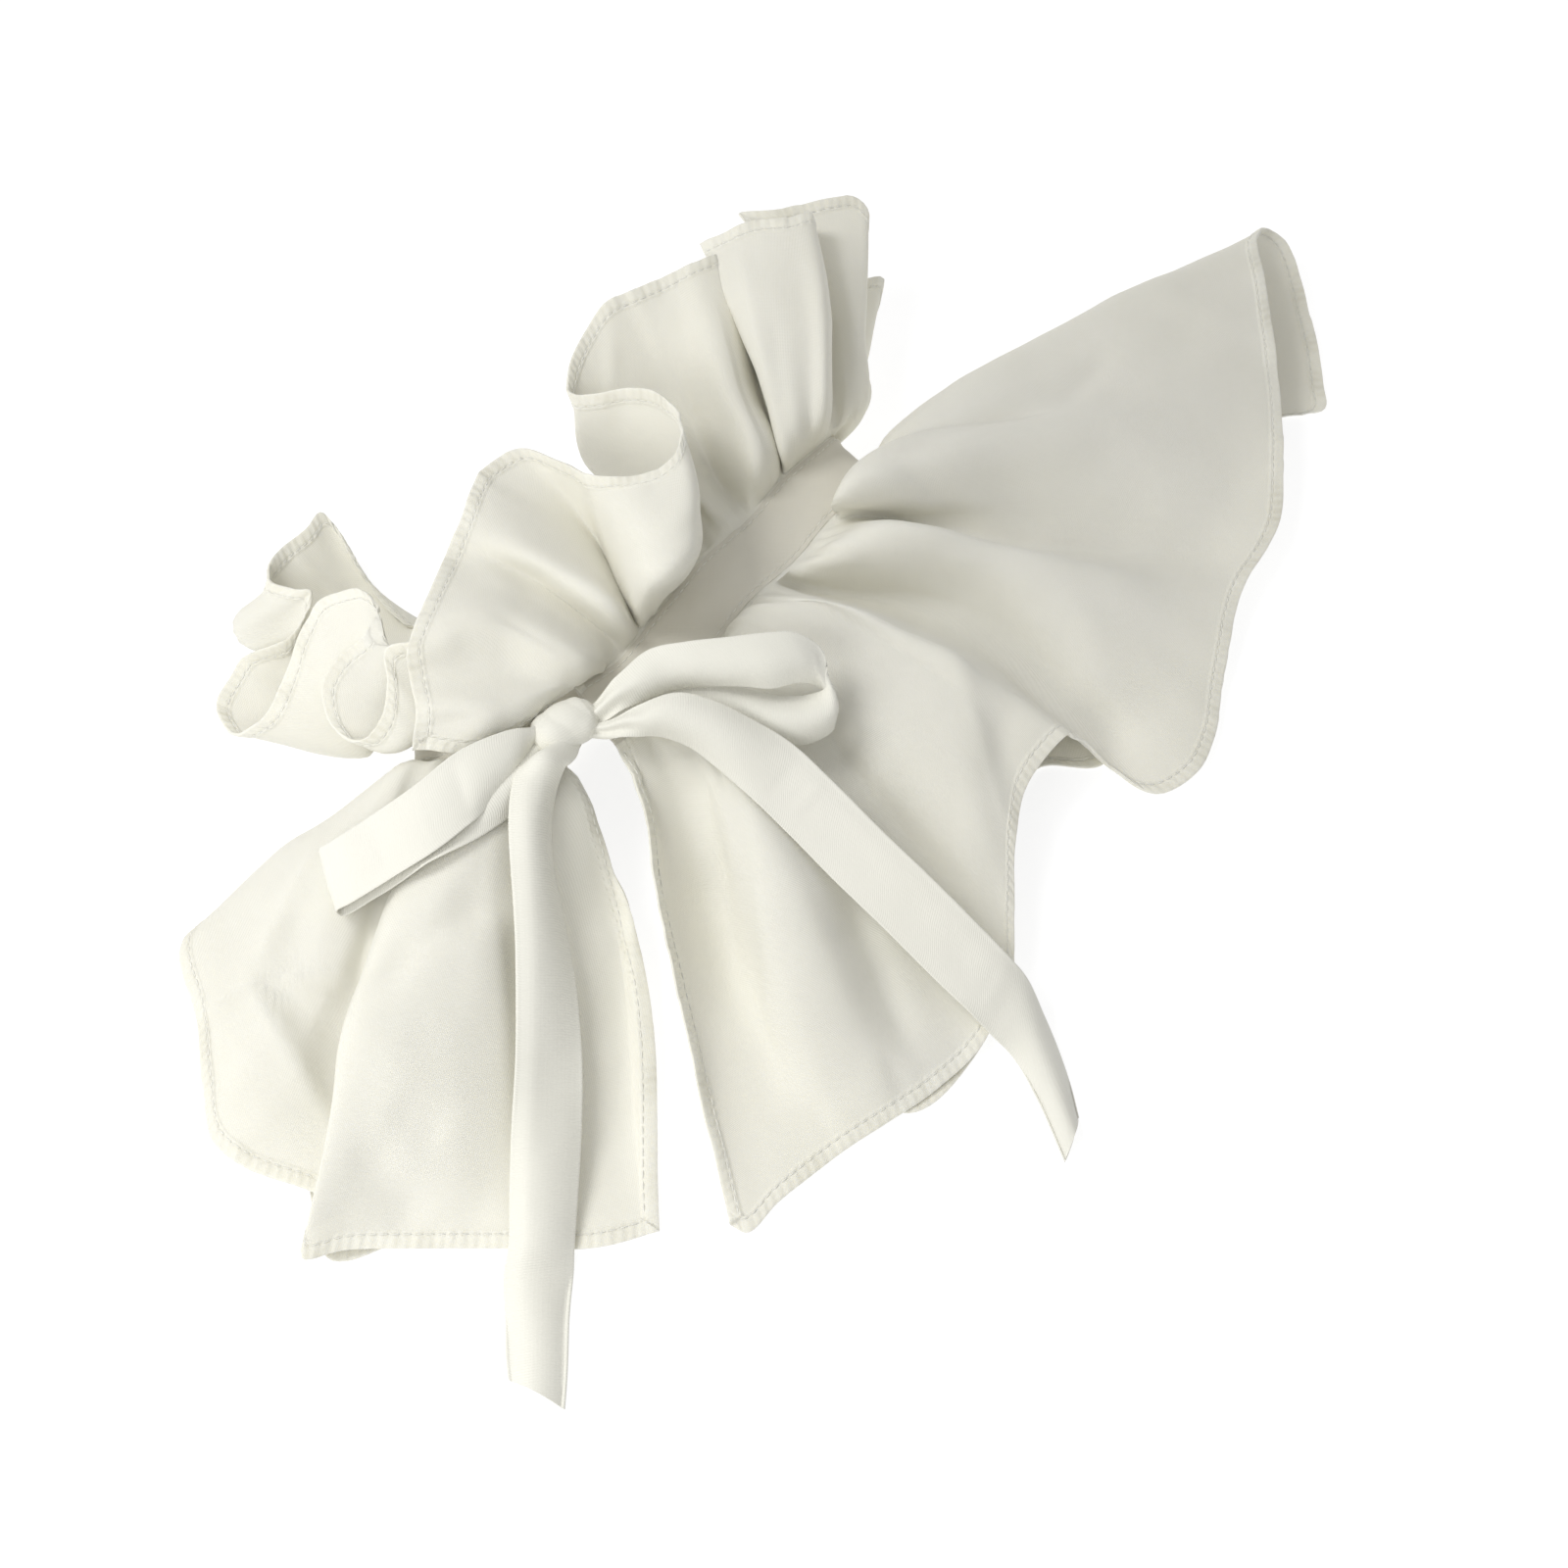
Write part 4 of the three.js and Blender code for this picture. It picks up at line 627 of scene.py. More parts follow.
# ------------------------------------------------------------------ meshes
def make_object(name, verts, faces, uvs=None, sharp=55, hems=None):
    me = bpy.data.meshes.new(name)
    me.from_pydata([], [], [])
    verts = np.asarray(verts, float) * MM
    faces = np.asarray(faces, int)
    n = faces.shape[1]
    me.vertices.add(len(verts))
    me.vertices.foreach_set("co", verts.ravel())
    me.loops.add(faces.size)
    me.loops.foreach_set("vertex_index", faces.ravel())
    me.polygons.add(len(faces))
    me.polygons.foreach_set("loop_start", np.arange(len(faces)) * n)
    me.update(calc_edges=True)
    me.validate()
    me.polygons.foreach_set("use_smooth", np.ones(len(me.polygons), bool))
    if sharp:
        me.set_sharp_from_angle(angle=math.radians(sharp))
    if uvs is not None:
        layer = me.uv_layers.new(name="cloth")
        loops = np.empty(len(me.loops), int)
        me.loops.foreach_get("vertex_index", loops)
        layer.data.foreach_set("uv", np.asarray(uvs, float)[loops].ravel())
        if hems is not None:
            layer = me.uv_layers.new(name="hem")
            layer.data.foreach_set("uv", np.asarray(hems, float)[loops].ravel())
    ob = bpy.data.objects.new(name, me)
    bpy.context.scene.collection.objects.link(ob)
    return ob


def sheet_object(name, P, half, uv, floor=0.05, hem=None):
    """A closed cloth sheet round a grid of points, half = half its thickness at each point."""
    n, m = P.shape[:2]
    N = normals(P)
    top, bot = P + N * half[..., None], P - N * half[..., None]
    for q in (top, bot):
        q[..., 2] = np.maximum(q[..., 2], floor)
    verts = np.concatenate([top.reshape(-1, 3), bot.reshape(-1, 3)])
    uvs = np.concatenate([uv.reshape(-1, 2), uv.reshape(-1, 2)])
    hems = None if hem is None else np.concatenate([hem.reshape(-1, 2), hem.reshape(-1, 2)])
    I = np.arange(n * m).reshape(n, m)
    B = I + n * m
    q = lambda a, b, c, d: np.stack([a.ravel(), b.ravel(), c.ravel(), d.ravel()], 1)
    faces = [
        q(I[:-1, :-1], I[1:, :-1], I[1:, 1:], I[:-1, 1:]),
        q(B[:-1, :-1], B[:-1, 1:], B[1:, 1:], B[1:, :-1]),
        q(I[:-1, 0], B[:-1, 0], B[1:, 0], I[1:, 0]),
        q(I[:-1, -1], I[1:, -1], B[1:, -1], B[:-1, -1]),
        q(I[0, :-1], I[0, 1:], B[0, 1:], B[0, :-1]),
        q(I[-1, :-1], B[-1, :-1], B[-1, 1:], I[-1, 1:]),
    ]
    return make_object(name, verts, np.concatenate(faces), uvs, hems=hems)


def stitch_object(name, lines):
    """Thread stitches as one mesh. lines = [(points, normals)] along which they lie."""
    ring, cuts = 5, (-1.0, -0.7, 0.0, 0.7, 1.0)
    fat = (0.0, 0.75, 1.0, 0.75, 0.0)
    verts, faces, base = [], [], 0
    for pts, nrm in lines:
        s = runs(pts)
        count = int(s[-1] / STITCH_PITCH)
        for c in (np.arange(count) + 0.5) * STITCH_PITCH:
            where = c + np.array(cuts) * STITCH_LENGTH / 2
            mid = np.stack([np.interp(where, s, pts[:, k]) for k in range(3)], 1)
            nn = unit(np.stack([np.interp(where, s, nrm[:, k]) for k in range(3)], 1))
            along = unit(np.gradient(mid, axis=0))
            side = unit(np.cross(nn, along))
            for k in range(5):
                r = 0.17 * max(fat[k], 0.15)
                lift = 0.1 * (1 - abs(cuts[k]) ** 2) + 0.02
                for a in range(ring):
                    w = 2 * math.pi * a / ring
                    verts.append(mid[k] + nn[k] * (lift + r * math.sin(w)) + side[k] * r * 1.25 * math.cos(w))
            for k in range(4):
                for a in range(ring):
                    b = (a + 1) % ring
                    faces.append((base + k * ring + a, base + (k + 1) * ring + a, base + (k + 1) * ring + b, base + k * ring + b))
            base += 5 * ring
    ob = make_object(name, verts, faces, None, 0)
    # close the ends
    me = ob.data
    import bmesh
    bm = bmesh.new()
    bm.from_mesh(me)
    bmesh.ops.holes_fill(bm, edges=[e for e in bm.edges if e.is_boundary], sides=ring)
    bmesh.ops.recalc_face_normals(bm, faces=bm.faces)
    bm.to_mesh(me)
    bm.free()
    return ob


# ------------------------------------------------------------------ neck band
band_lo, band_up = BAND_SECTIONS[:, :3], BAND_SECTIONS[:, 3:]
band_mid = (band_lo + band_up) / 2
band_across = unit(band_up - band_lo)
band_run = runs(band_mid)
BAND_LENGTH = band_run[-1]


def band_at(u):
    t = np.asarray(u) * BAND_LENGTH
    return smooth(band_run, band_mid, t), unit(smooth(band_run, band_across, t))


def build_band():
    t = np.linspace(0, 1, 321)
    mid, across = band_at(t)
    k = np.concatenate([[-.5, -.485, -.465, -.44, -.425, -.41, -.395, -.375], np.linspace(-.34, .34, 15), [.375, .395, .41, .425, .44, .465, .485, .5]])
    P = mid[:, None] + across[:, None] * (k * BAND_WIDTH)[None, :, None]
    N = normals(P)
    U, W = lengths(P)
    edge = (0.5 - np.abs(k)) * BAND_WIDTH
    pucker = noise(U / 4.2, W / 7 + 3, 11) * 0.32 * np.exp(-((edge - 1.0) / 3.2) ** 2)[None]
    crumple = noise(U / 15, W / 9, 12) * 0.55 + noise(U / 6, W / 5, 13) * 0.16
    groove = -0.0 * edge[None]
    P = P + N * (pucker + crumple * step01(edge / 6)[None] + groove)[..., None]
    half = np.full(P.shape[:2], BAND_HALF)
    half *= (0.55 + 0.45 * step01(edge / 2.2))[None]
    half -= 0.17 * np.exp(-((edge - 1.6) / 0.45) ** 2)[None]
    P[..., 2] = np.maximum(P[..., 2], half + 0.05)
    uv = np.stack([U, W], 2)
    ob = sheet_object("band_cloth", P, half, uv)
    lines = []
    N = normals(P)
    for side in (-1, 1):
        j = int(np.argmin(np.abs(k - side * (0.5 - 1.6 / BAND_WIDTH))))
        for face in (1, -1):
            lines.append((P[:, j] + N[:, j] * face * half[:, j:j + 1], N[:, j] * face))
    return ob, lines


# ------------------------------------------------------------------ ruffles
def ruffle_ribs(folds, side, spacing, ends=6.0):
    """Columns of a ruffle: t of each column, and its four guide points."""
    at, near, mid, hem = folds[:, 0], folds[:, 1:4], folds[:, 4:7], folds[:, 7:10]
    hs = np.linalg.norm(np.diff(hem, axis=0), axis=1)
    ms = np.linalg.norm(np.diff(mid, axis=0), axis=1)
    T = np.concatenate([[0], np.cumsum(np.maximum(0.8, np.sqrt(hs * np.maximum(2.4, ms))))])
    # columns closer where the hem runs long
    dense = np.linspace(0, T[-1], 6001)
    h, m = smooth(T, hem, dense), smooth(T, mid, dense)
    run = 0.6 * runs(h) + 0.9 * runs(m)
    count = int(run[-1] / spacing)
    want = np.linspace(0, run[-1], count)
    t = np.interp(want, run, dense)
    # and at the two side hems
    hr = runs(h)
    near_ends = [0.5, 1.2, 2.0, 2.8, 3.4, 3.9, 4.3, 4.8, 5.6, 6.6]
    extra = [np.interp(d, hr, dense) for d in near_ends] + [np.interp(hr[-1] - d, hr, dense) for d in near_ends]
    t = np.unique(np.round(np.concatenate([t, extra]), 5))
    keep = np.concatenate([[True], np.diff(t) > 0.04])
    t = t[keep]
    t[-1] = T[-1]
    m, h = smooth(T, mid, t), smooth(T, hem, t)
    u = rising(T, at, t)
    base, across = band_at(u)
    seam = base + across * side * (BAND_WIDTH / 2 + SEAM_GAP)
    tuck = base + across * side * (BAND_WIDTH / 2 - TUCK)
    return t, T, u, tuck, seam, smooth(T, near, t), m, h


def build_ruffle(name, folds, side, rows, spacing, seed, creases, wedges):
    t, T, u, tuck, seam, near, mid, hem = ruffle_ribs(folds, side, spacing)
    n = len(t)
    v = np.linspace(0, 1, 141)
    basis = smooth([0, NEAR_SHARE, 0.5, 1], np.eye(4), v)
    ribs = np.einsum("vk,nkc->nvc", basis, np.stack([seam, near, mid, hem], 1))
    # rows at set distances from the hem, the rest evenly spread
    hem_rows = np.array([0, .35, .9, 1.6, 2.4, 3.0, 3.4, 3.7, 4.0, 4.4, 4.8, 5.4, 6.4, 8.0, 10.0])
    P = np.empty((n, rows + len(hem_rows) + 2, 3))
    D = np.empty(P.shape[:2])     # distance down from the seam
    E = np.empty(P.shape[:2])     # distance up from the hem
    for i in range(n):
        s = runs(ribs[i])
        L = s[-1]
        lower = hem_rows * min(1, L / 26)
        body = np.linspace(0, 1, rows, endpoint=False) ** 1.15 * (L - lower[-1])
        want = np.concatenate([body, L - lower[::-1]])
        for c in range(3):
            P[i, 2:, c] = np.interp(want, s, ribs[i, :, c])
        P[i, 0], P[i, 1] = tuck[i], tuck[i] * 0.35 + seam[i] * 0.65
        D[i, 2:], D[i, :2] = want, (-TUCK - SEAM_GAP, -SEAM_GAP)
        E[i, 2:], E[i, :2] = L - want, L + 2
    N = normals(P)
    U, W = lengths(P)
    share = u[:, None] * BAND_LENGTH
    end = np.minimum(U, U[-1:] - U)
    # gathers that open out below the seam, long soft flutes, crumple and hem puckers
    away = step01(D / 2.5)
    gather = noise(share / 2.6 + 0 * D, D / 60, seed) * 0.75 * np.exp(-(np.maximum(D, 0) / 11) ** 1.4) * away
    gather += noise(share / 5.5 + 0 * D, D / 90, seed + 1) * 1.15 * np.exp(-(np.maximum(D, 0) / 26) ** 1.5) * away
    flat = unrolled(P)
    x, y = flat[..., 0], flat[..., 1]
    run = (0.5 * U[:, -1] + 0.5 * U[:, P.shape[1] // 2])[:, None]
    hem_run = U[:, -1:]
    flute = noise(run / 24 + 0 * D, D / 150, seed + 2) * 0.7 * step01(D / 25) * step01(E / 20)
    crumple = (noise(x / 22, y / 22, seed + 3) * 0.8 + noise(x / 10, y / 10, seed + 4) * 0.25) * step01(D / 12)
    pucker = noise(hem_run / 3.4 + 0 * D, E / 9, seed + 5) * 0.42 * np.exp(-((E - 2.0) / 3.6) ** 2)
    pucker += noise(W / 3.4, end / 9, seed + 6) * 0.36 * np.exp(-((end - 2.0) / 3.4) ** 2)
    wave = noise(hem_run / 14 + 0 * D, E / 30, seed + 7) * 0.5 * np.exp(-(E / 12) ** 2)
    height = gather + flute + crumple + pucker + wave
    height = height + creased(P, N, u[:, None] + 0 * D, creases, wedges) * step01((D - 3) / 8)
    lying = step01((P[..., 2] - 0.7) / 5.0)      # cloth that lies on the floor stays flat
    P = P + N * (height * (0.25 + 0.75 * lying))[..., None]
    half = CLOTH_HALF + HEM_EXTRA * np.maximum(step01((HEM_WIDTH + 0.3 - E) / 0.6), step01((HEM_WIDTH + 0.3 - end) / 0.6))
    half = half - 0.2 * np.maximum(np.exp(-((E - HEM_STITCH) / 0.4) ** 2), np.exp(-((end - HEM_STITCH) / 0.4) ** 2))
    half = half * np.where(np.minimum(E, end) < 0.2, 0.6, 1.0)
    P[..., 2] = np.maximum(P[..., 2], half + 0.06)
    nearer = E <= end
    hem = np.stack([np.where(nearer, hem_run + 0 * E, W), np.where(nearer, E, end)], 2)
    ob = sheet_object(name, P, half, flat, hem=hem)
    # stitch lines along the hem and both side hems
    N = normals(P)
    lines = []
    j = P.shape[1] - 1 - 7
    iL = int(np.argmin(np.abs(U[:, -1] - HEM_STITCH)))
    iR = int(np.argmin(np.abs((U[-1, -1] - U[:, -1]) - HEM_STITCH)))
    for face in (1, -1):
        lines.append((P[iL:iR + 1, j] + N[iL:iR + 1, j] * face * half[iL:iR + 1, j:j + 1], N[iL:iR + 1, j] * face))
        for i in (iL, iR):
            lines.append((P[i, 3:j + 1] + N[i, 3:j + 1] * face * half[i, 3:j + 1, None], N[i, 3:j + 1] * face))
    area = 0.5 * (np.linalg.norm(np.cross(P[1:, :-1] - P[:-1, :-1], P[:-1, 1:] - P[:-1, :-1]), axis=2).sum()
                  + np.linalg.norm(np.cross(P[1:, :-1] - P[1:, 1:], P[:-1, 1:] - P[1:, 1:]), axis=2).sum())
    print(name, "columns", n, "rows", P.shape[1], "hem", round(U[-1, -1]), "mm, seam", round(u[-1] * BAND_LENGTH), "mm, area", round(area / 1e6, 4), "m2")
    return ob, lines


def creased(P, N, share, creases, wedges):
    """Height of the single folds over a cloth, upwards; each row only moves its own shares of the band."""
    up = N[..., 2] / (np.abs(N[..., 2]) + 0.2)
    total = np.zeros(P.shape[:2])
    window = lambda lo, hi: step01((share - lo) / 0.006 + 0.5) * step01((hi - share) / 0.006 + 0.5)
    for x1, y1, x2, y2, height, width, crisp, lean, lo, hi in creases:
        dx, dy = x2 - x1, y2 - y1
        q = ((P[..., 0] - x1) * dx + (P[..., 1] - y1) * dy) / (dx * dx + dy * dy)
        d = ((P[..., 0] - x1) * dy - (P[..., 1] - y1) * dx) / math.hypot(dx, dy)
        wide = width * (1 + lean * np.tanh(d / 0.8))
        d = np.abs(d)
        ends = step01((q + 0.2) / 0.45) * step01((1.2 - q) / 0.45)
        sharp = np.exp(-(np.sqrt(d * d + 0.06) - 0.245) / wide)
        soft = np.exp(-(d / wide) ** 2)
        total += height * ends * (crisp * sharp + (1 - crisp) * soft) * window(lo, hi)
    for x, y, x1, y1, x2, y2, slope, deep, lo, hi in wedges:
        a, b = unit(np.array([x1 - x, y1 - y])), unit(np.array([x2 - x, y2 - y]))
        turn = 1 if a[0] * b[1] - a[1] * b[0] > 0 else -1
        px, py = P[..., 0] - x, P[..., 1] - y
        d1 = turn * (a[0] * py - a[1] * px)
        d2 = -turn * (b[0] * py - b[1] * px)
        d = np.maximum(np.minimum(d1, d2), 0)
        total -= deep * (1 - np.exp(-slope * d / deep)) * window(lo, hi)
    return total * up


# ------------------------------------------------------------------ ribbons
def build_ribbon(name, rows, seed, both=False, ridge=(0, 0)):
    a, b = rows[:, :3], rows[:, 3:]
    mid = (a + b) / 2
    width = np.minimum(RIBBON_WIDTH, np.linalg.norm(b - a, axis=1))
    across = unit(b - a)
    T = runs(mid)
    t = np.unique(np.concatenate([np.linspace(0, T[-1], int(T[-1] / 1.1)), [T[-1] - 0.3]]))
    m, w = smooth(T, mid, t), unit(smooth(T, across, t))
    # the knot is tied round the ribbon, which is drawn towards its middle there
    heart = np.array([KNOT["x"], KNOT["y"], KNOT["z"]])
    pull = 1 - step01(t / 9)
    if both:
        pull = np.maximum(pull, 1 - step01((T[-1] - t) / 9))
    m = m + (heart - m) * (0.72 * pull)[:, None]
    sink = 1 - step01((t - 5) / 11)
    if both:
        sink = np.maximum(sink, 1 - step01((T[-1] - t - 5) / 11))
    m[:, 2] += (heart[2] - 0.5 - m[:, 2]) * 0.85 * sink
    wide = np.minimum(RIBBON_WIDTH, smooth(T, width, t))
    k = np.concatenate([[-.5, -.49, -.475, -.455, -.43], np.linspace(-.39, .39, 17), [.43, .455, .475, .49, .5]])
    along = unit(np.gradient(m, axis=0))
    up = unit(np.cross(along, w))
    # where the ribbon is drawn together it folds lengthwise
    spare = np.clip(RIBBON_WIDTH / np.maximum(wide, 3) - 1, 0, 1.6)
    tight = 1 - step01((wide - 7) / 6)
    fold = 0.75 * np.sqrt(spare) * np.minimum(wide / 9, 1) * tight
    phase = 0.6 + noise(t / 30, t * 0, seed) * 0.5
    offset = fold[:, None] * np.cos(2 * math.pi * (1.6 * k[None] + phase[:, None]))
    # and where it is a little narrow it is cupped, its middle upwards
    cup = np.minimum(wide * np.sqrt(0.42 * spare), 5.4) * (1 - 0.6 * tight) * up[:, 2]
    offset += cup[:, None] * (0.67 - 4 * k[None] ** 2)
    offset += 0.35 * (k[None] ** 2 * 4 - 0.5) * noise(t / 28, t * 0 + 4, seed + 1)[:, None]
    offset += noise(t[:, None] / 9 + 0 * k, k[None] * 3, seed + 2) * 0.1
    # soft lengthwise fold: where it lies across the ribbon, and how high it stands
    stretch = step01((t - 14) / 20) * step01((T[-1] - t - 8) / 25) * np.sign(up[:, 2])
    offset += (ridge[1] * stretch)[:, None] * (1 - np.sqrt((k - ridge[0]) ** 2 + 0.003) / 0.6)[None]
    P = m[:, None] + w[:, None] * (k[None] * wide[:, None])[..., None] + up[:, None] * offset[..., None]
    U, W = lengths(P)
    half = np.full(P.shape[:2], RIBBON_HALF)
    half += (0.1 * np.exp(-((np.abs(k) - 0.475) / 0.018) ** 2))[None]
    half *= np.where(np.abs(k) > 0.495, 0.55, 1.0)[None]
    P[..., 2] = np.maximum(P[..., 2], half + 0.06)
    uv = np.stack([U, (k[None] * RIBBON_WIDTH + 0 * U)], 2)
    ob = sheet_object(name, P, half, uv)
    cells = np.linalg.norm(np.cross(P[1:, :-1] - P[:-1, :-1], P[:-1, 1:] - P[:-1, :-1]), axis=2).sum()
    print(name, "length", round(T[-1]), "mm, area / flat", round(cells / (T[-1] * RIBBON_WIDTH), 2))
    return ob, T[-1]


# ------------------------------------------------------------------ knot
def build_knot():
    n, m = 120, 72
    th = np.linspace(0, 2 * math.pi, n, endpoint=False)
    ph = np.linspace(-math.pi / 2, math.pi / 2, m)
    TH, PH = np.meshgrid(th, ph, indexing="ij")
    sx = np.sign(np.sin(PH)) * np.abs(np.sin(PH)) ** 0.85
    cx = np.abs(np.cos(PH)) ** 0.62
    # folds of the wrapping ribbon: ridges that run round the knot, drifting as they turn
    drift = sx * 3.1 + 0.45 * np.sin(TH + 0.6) + 0.25 * np.sin(2 * TH)
    ridge = 1 - np.abs(np.sin(drift * 1.35 + 0.4)) ** 0.8
    lump = 1 + 0.05 * noise(TH * 1.6, PH * 2 + 5, 31) * np.sin(TH / 2) ** 2
    r = (1 - 0.05 * ridge * cx - 0.09 * step01((np.abs(sx) - 0.72) / 0.12)) * lump
    x = sx * KNOT["long"] * 0.98
    y = cx * np.cos(TH) * KNOT["across"] * r * 1.05
    z = cx * np.sin(TH) * KNOT["deep"] * r * 1.05
    c, s = math.cos(KNOT["turn"]), math.sin(KNOT["turn"])
    P = np.stack([x * c - y * s + KNOT["x"], x * s + y * c + KNOT["y"], z + KNOT["z"]], 2)
    verts = P.reshape(-1, 3)
    I = np.arange(n * m).reshape(n, m)
    J = np.roll(I, -1, axis=0)
    q = np.stack([I[:, :-1].ravel(), J[:, :-1].ravel(), J[:, 1:].ravel(), I[:, 1:].ravel()], 1)
    uv = np.stack([TH * 6, PH * 7], 2).reshape(-1, 2)
    ob = make_object("knot_wrap", verts, q, uv, 0)
    import bmesh
    bm = bmesh.new()
    bm.from_mesh(ob.data)
    bmesh.ops.remove_doubles(bm, verts=bm.verts, dist=1e-5)
    bmesh.ops.recalc_face_normals(bm, faces=bm.faces)
    bm.to_mesh(ob.data)
    bm.free()
    return ob


# ------------------------------------------------------------------ materials
def nodes_of(name):
    mat = bpy.data.materials.new(name)
    mat.use_nodes = True
    nt = mat.node_tree
    return mat, nt, nt.nodes["Principled BSDF"]


def link(nt, a, b):
    nt.links.new(a, b)


def value(nt, op, a, b=None, c=None):
    n = nt.nodes.new("ShaderNodeMath")
    n.operation = op
    for k, x in enumerate((a, b, c)):
        if x is None:
            continue
        if isinstance(x, (int, float)):
            n.inputs[k].default_value = x
        else:
            link(nt, x, n.inputs[k])
    return n.outputs[0]


def hem_look(nt, height, colour):
    """Turned hem: drawn in at each stitch, paler along its run, with patches of painted shade where it puckers, painted
    shade at each stitch hole and a fine crease along the stitch line.
    """
    uv = nt.nodes.new("ShaderNodeUVMap")
    uv.uv_map = "hem"
    sep = nt.nodes.new("ShaderNodeSeparateXYZ")
    link(nt, uv.outputs[0], sep.inputs[0])
    run, edge = sep.outputs[0], sep.outputs[1]
    inside = value(nt, "SMOOTH_MIN", value(nt, "SUBTRACT", HEM_WIDTH + 0.5, edge), 1.0, 0.3)
    inside = value(nt, "MAXIMUM", inside, 0.0)
    phase = value(nt, "COSINE", value(nt, "MULTIPLY", run, 2 * math.pi / STITCH_PITCH))
    uneven = nt.nodes.new("ShaderNodeTexNoise")
    uneven.inputs["Scale"].default_value = 0.42
    link(nt, uv.outputs[0], uneven.inputs["Vector"])
    scallop = value(nt, "MULTIPLY", value(nt, "MULTIPLY", phase, inside), value(nt, "SUBTRACT", uneven.outputs[0], 0.1))
    away = value(nt, "SUBTRACT", edge, HEM_STITCH)
    line = value(nt, "EXPONENT", value(nt, "MULTIPLY", value(nt, "MULTIPLY", away, away), -9.0))
    # hole marks where each stitch draws the cloth in: it dents the bump, and it also sets where painted shade is mixed
    # in below.
    hole = value(nt, "MULTIPLY", line, value(nt, "POWER", value(nt, "MULTIPLY_ADD", phase, 0.5, 0.5), 4.0))
    height = value(nt, "ADD", height, value(nt, "MULTIPLY", scallop, 3.4))
    height = value(nt, "SUBTRACT", height, value(nt, "MULTIPLY", hole, 2.4))
    pale = nt.nodes.new("ShaderNodeMix")
    pale.data_type = "RGBA"
    link(nt, value(nt, "MULTIPLY", inside, 0.28), pale.inputs["Factor"])
    link(nt, colour, pale.inputs[6])
    pale.inputs[7].default_value = (0.88, 0.87, 0.80, 1)
    # Painted shade of the hem's puckers: a grey-brown colour mixed into the hem, in noise patches along its run,
    # strongest between the stitches.
    run_noise = nt.nodes.new("ShaderNodeTexNoise")
    run_noise.inputs["Scale"].default_value = 0.055
    run_noise.inputs["Detail"].default_value = 2
    link(nt, uv.outputs[0], run_noise.inputs["Vector"])
    pucker_shade_patch = value(nt, "MINIMUM", value(nt, "MAXIMUM", value(nt, "MULTIPLY_ADD", run_noise.outputs[0], 5.0, -2.3), 0.0), 1.0)
    rib = value(nt, "MULTIPLY_ADD", phase, -0.3, 0.7)
    painted_pucker_shade = nt.nodes.new("ShaderNodeMix")
    painted_pucker_shade.data_type = "RGBA"
    link(nt, value(nt, "MULTIPLY", value(nt, "MULTIPLY", value(nt, "MULTIPLY", pucker_shade_patch, rib), inside), 0.45), painted_pucker_shade.inputs["Factor"])
    link(nt, pale.outputs[2], painted_pucker_shade.inputs[6])
    painted_pucker_shade.inputs[7].default_value = (0.60, 0.58, 0.48, 1)
    # Painted shade: a dark colour mixed in at each stitch hole along the stitch line, for the shade in the dimple the
    # stitch draws in.
    painted_stitch_shade = nt.nodes.new("ShaderNodeMix")
    painted_stitch_shade.data_type = "RGBA"
    link(nt, value(nt, "MULTIPLY", value(nt, "MULTIPLY", hole, uneven.outputs[0]), 0.5), painted_stitch_shade.inputs["Factor"])
    link(nt, painted_pucker_shade.outputs[2], painted_stitch_shade.inputs[6])
    painted_stitch_shade.inputs[7].default_value = (0.46, 0.44, 0.35, 1)
    return height, painted_stitch_shade.outputs[2]


